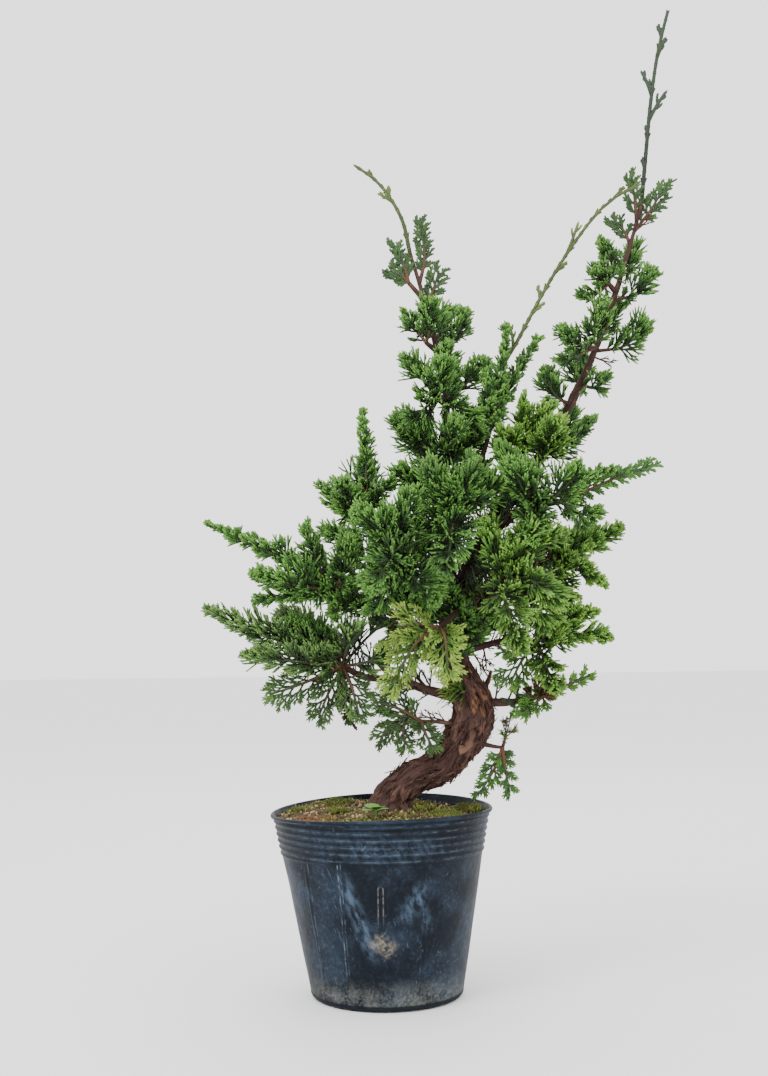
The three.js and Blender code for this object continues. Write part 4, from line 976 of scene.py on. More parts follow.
@dataclass(frozen=True)
class Mottled:
    """A matt finish that runs through three colours by a number carried on the mesh and by noise."""

    name: str
    low: Colour
    middle: Colour
    high: Colour
    waves: float = 400
    depth_mm: float = 0.15
    patch: Colour | None = None
    rust: Colour = (0.15, 0.055, 0.026)
    rust_x: float = -0.037
    rust_y: float = -0.022

    def build(self) -> Material:
        """The material. tint moves each grain or leaf along the colours; a patch colour brings a rusty spot too."""
        g = Graph(self.name)
        grain = g.noise(self.waves, 5)
        tone = g.carried("tint") * 0.7 + grain * 0.45 - 0.07
        colour = g.ramp(tone, (0.1, self.low), (0.5, self.middle), (0.92, self.high))
        if self.patch:
            x, y, _ = g.axes()
            colour = g.mix(g.noise(60, 6).step(0.46, 0.62) * 0.55, colour, self.patch)
            spot = x.distance_to(self.rust_x).step(0.013, 0.007) * y.distance_to(self.rust_y).step(0.014, 0.006)
            colour = g.mix(spot * grain.step(0.3, 0.6) * 0.8, colour, self.rust)
        return g.finish(colour, 0.9, Normal=g.relief(grain, self.depth_mm), Specular_IOR_Level=0.2)


@dataclass
class NurseryPot:
    """The tapered vinyl pot: ribs under a thin rolled rim, faint upright mouldings, slight dents, drain holes."""

    finish: PotVinyl = field(default_factory=PotVinyl)
    sides: int = 190
    moulding_angles: tuple[float, ...] = (-1.565, -1.988, -1.955, -2.43, -1.126, 0.4, 1.1, 1.9, 2.7)

    def outside(self) -> Array:
        """Radius and height pairs of the outer skin from the bottom's middle to the rim: a cone with cosine ribs."""
        ribs_end = POT_HEIGHT - RIM_BAND
        ribs_start = ribs_end - RIB_COUNT * RIB_PITCH
        floor = [(r, 0.0) for r in (0, 12, 20, 27, 34, FOOT_RADIUS - 3, FOOT_RADIUS - 1.6)]
        foot = [(FOOT_RADIUS - 0.6, 0.25), (FOOT_RADIUS, 1.0), (FOOT_RADIUS + 0.5, 1.9), (FOOT_RADIUS + 0.4, 3.0)]
        wall = np.linspace(4, ribs_start, 26)
        ribs = np.linspace(ribs_start, ribs_end, RIB_COUNT * 8 + 1)[1:]
        swell = RIB_DEPTH * (0.5 - 0.5 * np.cos((ribs - ribs_start) / RIB_PITCH * 2 * math.pi)) ** 1.6
        turn = np.linspace(-0.9, 3.2, 12)
        bead = RIM_BEAD * np.stack([np.cos(turn), np.sin(turn)], axis=1)
        cone, ribbed = np.stack([wall_radius(wall), wall], axis=1), np.stack([wall_radius(ribs) + swell, ribs], axis=1)
        return np.vstack([floor, foot, cone, ribbed, (RIM_RADIUS - RIM_BEAD, POT_HEIGHT - RIM_BEAD) + bead])

    def inside(self) -> Array:
        """Radius and height pairs of the inner skin, from the rim down to the middle of the floor."""
        wall = np.linspace(POT_HEIGHT - 2, WALL + 1.5, 14)
        floor = [(FOOT_RADIUS - WALL - 0.4, WALL), (34, WALL), (27, WALL), (20, WALL), (12, WALL), (0, WALL)]
        return np.vstack([np.stack([wall_radius(wall) - WALL, wall], axis=1), floor])

    def moulded(self, radius: Array, z: Array, angle: Array) -> Array:
        """Outward shift of the skin: low noise for dents, upright ridges, and the two sides of the front's arch.

        A ridge is a Gaussian of the distance across the skin, faded in and out along z by logistic steps.
        """

        def off(centre: float) -> Array:
            """Distance across the skin from an angle, in millimetres."""
            return ((angle - centre + math.pi) % (2 * math.pi) - math.pi) * radius

        spot = np.stack([np.cos(angle) * 1.7 + 9, np.sin(angle) * 1.7 + 9, z / 26 + 3], axis=-1)
        shift = 1.1 * (Noise(3).fractal(spot, 2) - 0.5) * np.clip(z / 12, 0, 1) * np.clip((98 - z) / 10, 0, 1)
        band = 1 / (1 + np.exp((z - 70) / 1.5)) / (1 + np.exp((12 - z) / 1.5))
        for k, centre in enumerate(self.moulding_angles):
            shift = shift + (0.34 if k else 0.15) * band * np.exp(-((off(centre) / 0.75) ** 2))
        sides = np.exp(-(((np.abs(off(self.moulding_angles[0])) - 1.5) / 0.6) ** 2))
        window = 1 / (1 + np.exp((z - 65) / 0.5)) / (1 + np.exp((40 - z) / 0.8))
        return shift + 0.9 * sides * window

    def build(self) -> bpy.types.Object:
        """Lathes the two skins into one closed shell and cuts the drain holes."""
        outer, inner = self.outside(), self.inside()
        profile = np.vstack([outer, inner])
        even = np.linspace(0, 2 * math.pi, self.sides, endpoint=False) - math.pi
        fine = [centre + np.linspace(-0.06, 0.06, 11) for centre in self.moulding_angles[:5]]
        angle = np.unique(np.round(np.concatenate([even, *fine]), 3))
        angle = angle[np.append(True, np.diff(angle) > 0.004)]
        radius = profile[1:-1, 0, None] + 0 * angle
        z = profile[1:-1, 1, None] + 0 * angle
        turn = angle + 0 * radius
        is_wall = (z > 2) & (radius > FOOT_RADIUS - 3)
        radius = radius + np.where(is_wall, self.moulded(radius, z, turn), 0)
        places = soften(np.stack([radius * np.cos(turn), radius * np.sin(turn), z], axis=-1))
        shape = Shape()
        shape.tubes(places[None], np.array([[0, 0, 0.0]]), np.array([[0, 0, WALL]]))
        piece = shape.piece("nursery_pot", self.finish.build(), "pot", ("pot",))
        self.drain(piece)
        return piece

    def drain(self, piece: bpy.types.Object) -> None:
        """Cuts a ring of round holes through the pot's floor with upright closed drums."""
        drums = Shape()
        around = (np.arange(DRAIN_COUNT) + 0.5) * 2 * math.pi / DRAIN_COUNT
        middle = np.stack([DRAIN_RING * np.cos(around), DRAIN_RING * np.sin(around), 0 * around], axis=-1)
        turn = np.linspace(0, 2 * math.pi, 24, endpoint=False)
        spokes = DRAIN_RADIUS * np.stack([np.cos(turn), np.sin(turn), 0 * turn], axis=-1)
        rings = middle[:, None, None] + spokes[None, None] + np.array([-3.0, 3.0])[None, :, None, None] * UP
        drums.tubes(rings, middle - 3 * UP, middle + 3 * UP)
        cutter = drums.piece("drain_cutter", piece.data.materials[0], "pot")
        cut = piece.modifiers.new("drain", "BOOLEAN")
        cut.operation, cut.solver, cut.object = "DIFFERENCE", "EXACT", cutter
        bpy.context.view_layer.update()
        ready = piece.evaluated_get(bpy.context.evaluated_depsgraph_get())
        mesh = bpy.data.meshes.new_from_object(ready)
        piece.modifiers.clear()
        piece.data = mesh
        bpy.data.objects.remove(cutter)


@dataclass
class SoilBed:
    """Loose soil: an uneven bed and scattered clay grains."""

    rings: int = 42
    sides: int = 120
    grains: int = 2400
    seed: int = 11
    spread: float = 56.5
    trunk_x: float = 5.0
    trunk_clear: float = 9.5

    def radius(self, z: Array | float) -> Array:
        """Radius of the pot's inner wall at a height, less a hair."""
        return wall_radius(z) - WALL - 0.15

    def surface(self, x: Array, y: Array) -> Array:
        """Height of the bed: the mounds plus crumbly noise of about a millimetre."""
        spot = np.stack([x / 2.3, y / 2.3, 0 * x + 4], axis=-1)
        edge = np.clip((57 - np.hypot(x, y)) / 6, 0, 1)
        return soil_height(x, y) - 0.9 + 1.7 * Noise(5).fractal(spot + 40, 3) - 1.0 * (1 - edge)

    def bed(self, finish: Material) -> bpy.types.Object:
        """A closed body: the bottom, the tapered side, and the top on rings that shrink to the middle."""
        angle = np.linspace(0, 2 * math.pi, self.sides, endpoint=False)
        lower = np.array([(20, 1.5), (39, 1.5), (self.radius(3), 3), (self.radius(50), 50), (self.radius(90), 90)])
        top = np.linspace(self.radius(SOIL_EDGE), 0.8, self.rings)
        r = np.concatenate([lower[:, 0], top])[:, None] + 0 * angle
        x, y = r * np.cos(angle), r * np.sin(angle)
        z = np.concatenate([lower[:, 1], 0 * top])[:, None] + 0 * angle
        z[len(lower) :] = self.surface(x[len(lower) :], y[len(lower) :])
        places = soften(np.stack([x, y, z], axis=-1))
        pole = np.array([[0.0, 0, soil_height(np.array(0.0), np.array(0.0))]])
        shape = Shape()
        tint = Noise(9).fractal(np.stack([x / 9 + 20, y / 9 + 20, 0 * x], axis=-1), 3)
        shape.tubes(places[None], np.array([[0, 0, 1.5]]), pole, tint=tint.mean(axis=1)[None])
        return shape.piece("soil_bed", finish, "soil", ("soil",))

    def scatter(self, rng: Draws, count: int) -> tuple[Array, Array]:
        """Random places on the soil, even over its area and clear of the trunk."""
        r = np.sqrt(rng.random(count * 2)) * self.spread
        turn = rng.random(count * 2) * 2 * math.pi
        x, y = r * np.cos(turn), r * np.sin(turn)
        keep = np.hypot(x - self.trunk_x, y) > self.trunk_clear
        return x[keep][:count], y[keep][:count]

    def clay(self, finish: Material) -> bpy.types.Object:
        """Grains: stretched, randomly turned spheres of 3 rings and 4 sides with noise on their radius."""
        rng = np.random.default_rng(self.seed)
        x, y = self.scatter(rng, self.grains)
        size = 0.35 + 0.75 * rng.random(len(x)) ** 3
        middle = soften(np.stack([x, y, self.surface(x, y) + size * 0.35], axis=-1))
        axis = unit(rng.normal(size=(len(x), 3)))
        first, second = across(axis, unit(rng.normal(size=(len(x), 3))))
        polar = np.array([0.7, 1.57, 2.44])
        turn = even_turns(4)
        rough = size[:, None, None] * (0.8 + 0.4 * rng.random((len(x), 3, 4)))
        out = np.sin(polar)[None, :, None] * rough
        rings = middle[:, None, None] - axis[:, None, None] * (np.cos(polar)[None, :, None] * rough)[..., None]
        rings = rings + first[:, None, None] * (out * np.cos(turn))[..., None]
        rings = rings + second[:, None, None] * (out * np.sin(turn))[..., None]
        reach = axis * size[:, None] * 0.9
        shape = Shape()
        shape.tubes(rings, middle - reach, middle + reach, tint=rng.random(len(x))[:, None])
        return shape.piece("soil_grains", finish, "soil")


@dataclass
class MossCover:
    """Moss: slim spindles that stand on the soil in patches, and thick on three cushions."""

    carpet: int = 2900
    per_cushion: int = 420
    seed: int = 23

    def spindles(self, shape: Shape, foot: Array, way: Array, tall: Array, rng: Draws) -> None:
        """Adds spindles: three-sided rings at 40% and 75% of the height, the upper one slimmer, between two poles.

        Args:
            shape: the moss's shape.
            foot: where each one stands.
            way: the unit direction in which it grows.
            tall: its height.
            rng: the draws.
        """
        turn = even_turns(3) + rng.random((len(foot), 1)) * 6.3
        wide = (0.16 + 0.14 * rng.random(len(foot)))[:, None, None] * np.maximum(1, tall / 2.0)[:, None, None]
        rise = way * tall[:, None]
        spokes = turned(way, (0.3, 0.9, 0.1), turn) * wide
        low = (foot + rise * 0.4)[:, None] + spokes
        high = (foot + rise * 0.75)[:, None] + spokes * 0.7
        shape.tubes(np.stack([low, high], axis=1), foot, foot + rise, tint=rng.random(len(foot))[:, None])

    def build(self, bed: SoilBed, finish: Material) -> None:
        """Makes the carpet, kept where low noise is high, with its taller tufts, and the cushions."""
        rng = np.random.default_rng(self.seed)
        x, y = bed.scatter(rng, self.carpet)
        patch = Noise(13).fractal(np.stack([x / 11 + 30, y / 11 + 30, 0 * x], axis=-1), 2)
        grown = np.stack([x, y, bed.surface(x, y) - 0.3], axis=-1)[patch > 0.48]
        shape = Shape()
        for cx, cy, spread, tall, count in MOSS_TUFTS:
            x, y = (middle + rng.normal(size=count) * spread for middle in (cx, cy))
            foot = np.stack([x, y, soil_height(x, y) - 0.3], axis=-1)
            lean = (foot - (cx, cy, 0)) * (1, 1, 0) / spread
            way = unit(UP + lean * 0.45 + rng.normal(size=foot.shape) * 0.2)
            self.spindles(shape, soften(foot), way, tall * rng.uniform(0.6, 1.2, count), rng)
        way = unit(UP + rng.normal(size=grown.shape) * 0.45)
        self.spindles(shape, soften(grown), way, 1.1 + 1.3 * rng.random(len(grown)), rng)
        shape.piece("moss_carpet", finish, "moss")
        for name, *size in MOSS_CUSHIONS:
            self.cushion(name, size, rng, finish)

    def cushion(self, name: str, size: list[float], rng: Draws, finish: Material) -> None:
        """Makes a dome, an ellipsoid whose radius noise changes, with spindles that stand out of it.

        Args:
            name: the cushion's name.
            size: its middle x and y, half widths and height.
            rng: the draws.
            finish: the moss's material.
        """
        cx, cy, half_x, half_y, height = size
        shape = Shape()
        polar = np.linspace(math.pi - 0.15, 0.12, 15)[:, None]
        turn = np.linspace(0, 2 * math.pi, 36, endpoint=False)[None]
        ball = np.stack([np.sin(polar) * np.cos(turn), np.sin(polar) * np.sin(turn), np.cos(polar) + 0 * turn], axis=-1)
        lump = 0.84 + 0.2 * Noise(17).fractal(ball * 2.4 + 8, 3)
        middle = np.array([cx, cy, float(soil_height(np.array(cx), np.array(cy))) - 0.5])
        stretch = np.array([half_x, half_y, height])
        places = soften(middle + ball * lump[..., None] * stretch)
        bottom, top = (soften(middle + side * stretch * (0, 0, 0.9))[None] for side in (-1, 1))
        shape.tubes(places[None], bottom, top, tint=np.full((1, 15), 0.35))
        rise, spread = (rng.normal(size=(self.per_cushion, 3)) for _ in range(2))
        out = unit(np.abs(rise) * (0, 0, 1) + spread * (1, 1, 0))
        foot = soften(middle + out * stretch * 0.86)
        self.spindles(shape, foot, unit(out + UP * 0.6), 0.9 + 0.7 * rng.random(self.per_cushion), rng)
        shape.piece(name, finish, "moss", (name,))


@dataclass
class Seedling:
    """A small weed with rounded leaves on short stalks."""

    x: float = -5.0
    y: float = -27.0
    leaves: int = 4
    length: float = 8.0
    width: float = 8.6
    stem_height: float = 4.0

    def build(self, finish: Material) -> bpy.types.Object:
        """Adds a stalk, and leaves of half width w/2 sqrt(sin(pi s^0.8)), 0.44 thick, cupped and grooved."""
        shape = Shape()
        ground = float(soil_height(np.array(self.x), np.array(self.y)))
        foot = np.array([self.x, self.y, ground - 1])
        stalk = Path([foot, foot + (0.3, 0.2, self.stem_height * 0.5), foot + (0, 0, self.stem_height)])
        rings = bar_rings(stalk, np.linspace(0, 1, 8), np.linspace(0.7, 0.5, 8), 8, (1.0, 0, 0))
        shape.tubes(rings, stalk.at(0.0)[None], stalk.at(1.0)[None], tint=np.full((1, 8), 0.6))
        s = np.linspace(0.02, 0.98, 12)[:, None]
        t = np.linspace(0, 2 * math.pi, 14, endpoint=False)[None]
        for k in range(self.leaves):
            turn = 0.5 + k * 2 * math.pi / self.leaves
            lift = 0.25 + 0.2 * (k % 2)
            half = 0.5 * self.width * np.sqrt(np.sin(math.pi * s**0.8)) * np.clip(0.35 + 2.2 * s, 0, 1)
            side = half * np.cos(t)
            thick = 0.22 * np.sin(t) + 0.35 * (side / self.width * 2) ** 2 - 0.25 * np.exp(-((side / 0.5) ** 2))
            out = 0.6 + s * self.length * 0.88 + 0 * t
            rise = self.stem_height - 1.2 + 0.5 * (k % 2) + out * math.tan(lift) - 0.02 * out**2 + thick
            x = out * math.cos(turn) - side * math.sin(turn)
            y = out * math.sin(turn) + side * math.cos(turn)
            places = np.stack([self.x + x, self.y + y, ground + rise], axis=-1)
            tint = (0.45 + 0.4 * s + 0.15 * (k % 2)).T
            shape.tubes(places[None], places[0].mean(axis=0)[None], places[-1].mean(axis=0)[None], tint=tint)
        return shape.piece("weed", finish, "weed", ("weed",))


@dataclass
class TreeWood:
    """The tree's wood: a stout twisted trunk, roots, leaders, limbs, bare twigs and dead stubs, grown as one."""

    curves: dict[str, tuple[Path, Array, Array]] = field(default_factory=dict)
    root_tip: float = 1.4

    def __post_init__(self) -> None:
        """Lays the trunk, then each limb from its place on what it leaves."""
        trunk = np.array(TRUNK, float)
        path = Path(trunk[:, :3])
        marks = np.interp(np.arange(len(trunk)) * 40, np.arange(len(path.shares)), path.shares)
        self.curves["trunk"] = (path, marks, trunk[:, 3])
        for name, parent, share, thick, thin, *points in LIMBS:
            path = Path([self.curves[parent][0].at(share), *points])
            self.curves[name] = (path, np.array([0.0, 1]), np.array([thick, thin], float))
        foot = trunk[2, :3]
        for k, (x, y, z, thick) in enumerate(ROOTS):
            end = np.array([x, y, z], float)
            knee = (foot + end) / 2 + 1.5 * UP
            self.curves[f"root_{k}"] = (Path([foot, knee, end]), np.array([0.0, 1]), np.array([thick, self.root_tip]))

    def radius_at(self, name: str, share: Array | float) -> Array:
        """The radius of a limb at a share of its length; a leader thins fast at first, by the power LEADER_TAPER."""
        _, marks, radii = self.curves[name]
        if name.startswith("leader"):
            return radii[1] + (radii[0] - radii[1]) * (1 - np.asarray(share, float)) ** LEADER_TAPER
        return np.interp(share, marks, radii)

    def bar(
        self, shape: Shape, path: Path, radii: Array, sides: int, rough: float, pale: Array | float = 0.0
    ) -> None:
        """Adds a bar with bark: noise stretched along the fibre, made ridged by 1 - |2n - 1|, moves the skin outwards.

        Args:
            shape: the wood's shape.
            path: the bar's middle line.
            radii: its radius at even steps of its length.
            sides: faces around it.
            rough: depth of the bark, in millimetres.
            pale: share of bare dead wood at each step.
        """
        steps = len(radii)
        shares = np.linspace(0, 1, steps)
        run = shares[:, None] * path.length
        twist = even_turns(sides)[None] + run * 0.018
        wide = radii[:, None] / 1.5
        spot = np.stack([np.cos(twist) * wide, np.sin(twist) * wide, run / 11 + 0 * twist], axis=-1)
        fibre = 1 - np.abs(2 * Noise(31).fractal(spot + 50, 3) - 1)
        flake = Noise(37).fractal(spot * (0.45, 0.45, 0.9) + 90, 2)
        plate = 1 / (1 + np.exp(-(flake - 0.52) * 60))
        flute = 0.05 * np.cos(3 * twist + 1) + 0.04 * np.cos(5 * twist + run * 0.05)
        skin = radii[:, None] * (1 + flute * min(1.0, rough)) + rough * ((fibre - 0.8) * 1.1 + (plate - 0.6) * 0.7)
        hint = (0, 1, 0) if abs(path.ways(0.5)[1]) < 0.8 else (1, 0, 0)
        relief = np.clip(0.15 + 0.9 * (fibre - 0.35) + 0.25 * (plate - 0.5), 0, 1)
        pale = np.broadcast_to(np.asarray(pale, float), (steps,))[None]
        rings = bar_rings(path, shares, skin, sides, hint)
        shape.tubes(rings, path.at(0.0)[None], path.at(1.0)[None], relief=relief[None], pale=pale)

    def strands(
        self, shape: Shape, name: str, count: int, long: float, thick: float, lift: float, share: tuple[float, float]
    ) -> None:
        """Shreds of peeling bark: slim tapered strips that lie along the fibre, their ends lifted off the wood.

        Args:
            shape: the wood's shape.
            name: the limb that they lie on.
            count: how many.
            long: their usual length, in millimetres.
            thick: their half thickness.
            lift: how steeply they stand away.
            share: where on the limb they start and end.
        """
        rng = np.random.default_rng(41 + count)
        path = self.curves[name][0]
        s = rng.uniform(*share, count)
        onward = path.ways(s)
        out = turned(onward, (0.0, 1, 0), rng.uniform(0, 2 * math.pi, count))
        along = onward * rng.choice([-1.0, 1.0], count)[:, None]
        around = np.cross(onward, out) * rng.uniform(-0.3, 0.3, (count, 1))
        way = unit(along + around + out * lift * rng.uniform(0.2, 1.0, (count, 1)))
        length = long * rng.uniform(0.5, 1.5, count)
        start = path.at(s) + out * self.radius_at(name, s)[:, None] * 0.94
        relief = np.clip(rng.normal(0.5, 0.25, count), 0, 1)[:, None]
        pale = np.clip(rng.normal(-0.1, 0.2, count), 0, 1)[:, None]
        cords = Cords(start, way, out * 0.25 * lift, length, out, s, s)
        cords.tubes(shape, np.array([0.0, 0.45, 0.9]), thick * np.array([0.9, 1.05, 0.5]), 3, relief=relief, pale=pale)

    def bare_twigs(self, shape: Shape) -> None:
        """Thin bare twigs, forked twice."""
        rng = np.random.default_rng(43)
        start = np.array([self.curves[limb][0].at(share) for limb, share, _, _ in BARE_TWIGS])
        way = unit(np.array([way for _, _, way, _ in BARE_TWIGS], float))
        long = np.array([length for _, _, _, length in BARE_TWIGS], float)
        count = len(long)
        bend = rng.normal(size=(count, 3)) * 0.35
        level = Cords(start, way, bend, long, unit(np.cross(way, rng.normal(size=(count, 3)))), 0 * long, 0 * long)
        for rings, radius, shares in ((8, 0.62, (0.3, 0.5, 0.72)), (6, 0.45, (0.4, 0.7)), (4, 0.34, ())):
            t = np.linspace(0, 0.93, rings)
            relief = np.full((len(level.length), 1), 0.45)
            level.tubes(shape, t, radius * (1 - 0.35 * t), 5, relief=relief, pale=0.05 + 0 * t[None])
            if shares:
                level = level.forks(shares, 0.7, 0.8, rng)

    def build(self, twigs: list[tuple[Path, float]], finish: Material) -> bpy.types.Object:
        """Adds every limb, the twigs that carry the leafy stems, dead stubs, shreds of bark and bare twigs.

        A stub's radius goes evenly from one end to the other, times 1 + knots sin(17 s + 1) sin(5 s).
        """
        shape = Shape()
        for name, (path, _, _) in self.curves.items():
            rings, sides, rough = BARS[name.split("_")[0]]
            self.bar(shape, path, self.radius_at(name, np.linspace(0, 1, rings)), sides, rough)
        for path, radius in twigs:
            self.bar(shape, path, np.linspace(radius * 1.05, radius * 0.8, 9), 7, 0.12)
        s = np.linspace(0, 1, 34)
        for points, thick, thin, knots in DEAD_STUBS:
            radii = (thick + (thin - thick) * s) * (1 + knots * np.sin(s * 17 + 1) * np.sin(s * 5))
            self.bar(shape, Path(points), radii, 20, 1.3, 0.04 + 0.36 * s**2)
        for shreds in SHREDS:
            self.strands(shape, *shreds)
        self.bare_twigs(shape)
        return shape.piece("trunk_wood", finish, "bark", ("trunk_and_branches",))


@dataclass
class Cords:
    """Many short bent cords at once: place(t) = start + length (t way + t^2 bend / 2), for t from 0 to 1.

    normal is square to the plane of a cord's side cords, fresh its age and tint its shade at the start.
    """

    start: Array
    way: Array
    bend: Array
    length: Array
    normal: Array
    fresh: Array
    tint: Array

    def at(self, t: Array) -> Array:
        """Places at t, one number for each cord or a row for all."""
        start, way, bend, length = self.start, self.way, self.bend, self.length[:, None]
        if t.ndim == 2:
            start, way, bend, length = (part[:, None] for part in (start, way, bend, length))
        t = t[..., None]
        return start + length * (t * way + t**2 * bend / 2)

    def direction(self, t: Array) -> Array:
        """Unit directions at t, one number for each cord."""
        return unit(self.way + t[:, None] * self.bend)

    def forks(self, shares: tuple[float, ...], angle: float, part: float, rng: Draws) -> Cords:
        """Side cords that leave left and right by turns in the plane of each cord's fan, then bend to go along with it.

        Args:
            shares: where they leave, as shares of the cord.
            angle: how far they turn away, in radians.
            part: length of a side cord, as a share of the length that the cord still has there.
            rng: the draws.

        Returns:
            The side cords.
        """
        out = []
        for k, share in enumerate(shares):
            t = np.clip(share + rng.uniform(-0.04, 0.04, len(self.length)), 0.04, 0.95)
            way = self.direction(t)
            side = unit(np.cross(way, self.normal)) * (1 if k % 2 else -1)
            turn = angle * rng.uniform(0.75, 1.15, len(t))[:, None]
            new = unit(way * np.cos(turn) + side * np.sin(turn) + self.normal * rng.uniform(-0.3, 0.3, (len(t), 1)))
            length = self.length * max(part * (1 - share), 0.24) * rng.uniform(0.75, 1.25, len(t))
            fresh = self.fresh + (1 - self.fresh) * t * 0.6
            normal = unit(self.normal + rng.normal(size=new.shape) * 0.3)
            bend = (way - new) * 0.75 + UP * 0.1 + rng.normal(size=new.shape) * 0.1
            tint = np.clip(self.tint + rng.normal(size=len(t)) * 0.07, 0, 1)
            out.append(Cords(self.at(t), new, bend, np.maximum(length, 2.6), normal, fresh, tint))
        return Cords.joined(out)

    def in_the_light(self) -> Cords:
        """The cords without those whose outer part would close one of the crown's light gaps."""
        places = self.at(np.full(len(self.length), 0.75))
        keep = np.ones(len(self.length), bool)
        for x, z, half_width, half_height in LIGHT_GAPS:
            keep &= ((places[:, 0] - x) / half_width) ** 2 + ((places[:, 2] - z) / half_height) ** 2 > 1
        return self.kept(keep)

    def kept(self, keep: Array | slice) -> Cords:
        """The cords that a mask or a slice keeps."""
        return Cords(*(getattr(self, part.name)[keep] for part in fields(self)))

    @staticmethod
    def joined(sets: list[Cords]) -> Cords:
        """Several sets of cords as one."""
        return Cords(*(np.concatenate([getattr(one, part.name) for one in sets]) for part in fields(Cords)))

    def tubes(self, shape: Shape, t: Array, wide: Array, sides: int, **values: Array) -> None:
        """Adds the cords as closed tubes of a width at each t, with a blunt point at t = 1."""
        t = t[None] + 0 * self.length[:, None]
        spokes = turned(self.way, self.normal, even_turns(sides)[None])
        places = self.at(t)[:, :, None] + spokes[:, None] * (wide + 0 * t)[..., None, None]
        start = self.start - self.way * wide[0] * 0.5 if sides > 3 else None
        shape.tubes(places, start, self.at(np.ones(len(self.length))), **values)

    def draw(self, shape: Shape, rings: int, radius: float, sides: int = 3, alive: float = 1.0) -> None:
        """Adds the cords as leafy ones, of radius r (1 - 0.2 t) and with a blunt point.

        Args:
            shape: the spray's shape.
            rings: rings along each cord.
            radius: r, in millimetres.
            sides: faces around it.
            alive: 1 for green cords, and near 0 for dead brown ones.
        """
        t = np.linspace(0, 0.9, rings)
        wide = radius * (1 - 0.2 * t)
        fresh = (self.fresh[:, None] + (1 - self.fresh[:, None]) * t[None] * 0.9) * alive
        self.tubes(shape, t, wide, sides, fresh=fresh, tint=self.tint[:, None], along=t[None] * self.length[:, None])


@dataclass(frozen=True)
class Stem:
    """A leafy stem: its line, the share of it that is a bare twig, its shoots' reach in millimetres, and how green."""

    path: Path
    bare: float
    reach: float
    alive: float = 1.0

    @property
    def length(self) -> float:
        """Length of the leafy part, in millimetres."""
        return self.path.length * (1 - self.bare)

    def shares(self, s: Array) -> Array:
        """Shares of the whole line, from shares of its leafy part."""
        return self.bare + (1 - self.bare) * s

    @staticmethod
    def spread(s: Array) -> Array:
        """How far shoots reach along a stem: sqrt of a quick rise over the first 30%, times sqrt(1 - s^3)."""
        return np.sqrt(np.minimum(1, (s + 0.06) / 0.3)) * np.sqrt(np.maximum(0, 1 - s**3))

    def bar(self, shape: Shape, thick: float, thin: float, fresh: tuple[float, float]) -> None:
        """Adds the stem's own bar, from a little inside its twig, with its radius and freshness at start and end."""
        path = self.path
        shares = np.linspace(max(0.0, self.bare - 0.05), 1, 14)
        rings = bar_rings(path, shares, np.linspace(thick, thin, 14), 6, (0.1, 0.9, 0.2))
        numbers = {"fresh": np.linspace(*fresh, 14)[None], "tint": 0.4, "along": (shares * path.length)[None]}
        shape.tubes(rings, path.at(shares[0])[None], path.at(1.0 + 0.8 / path.length)[None], **numbers)


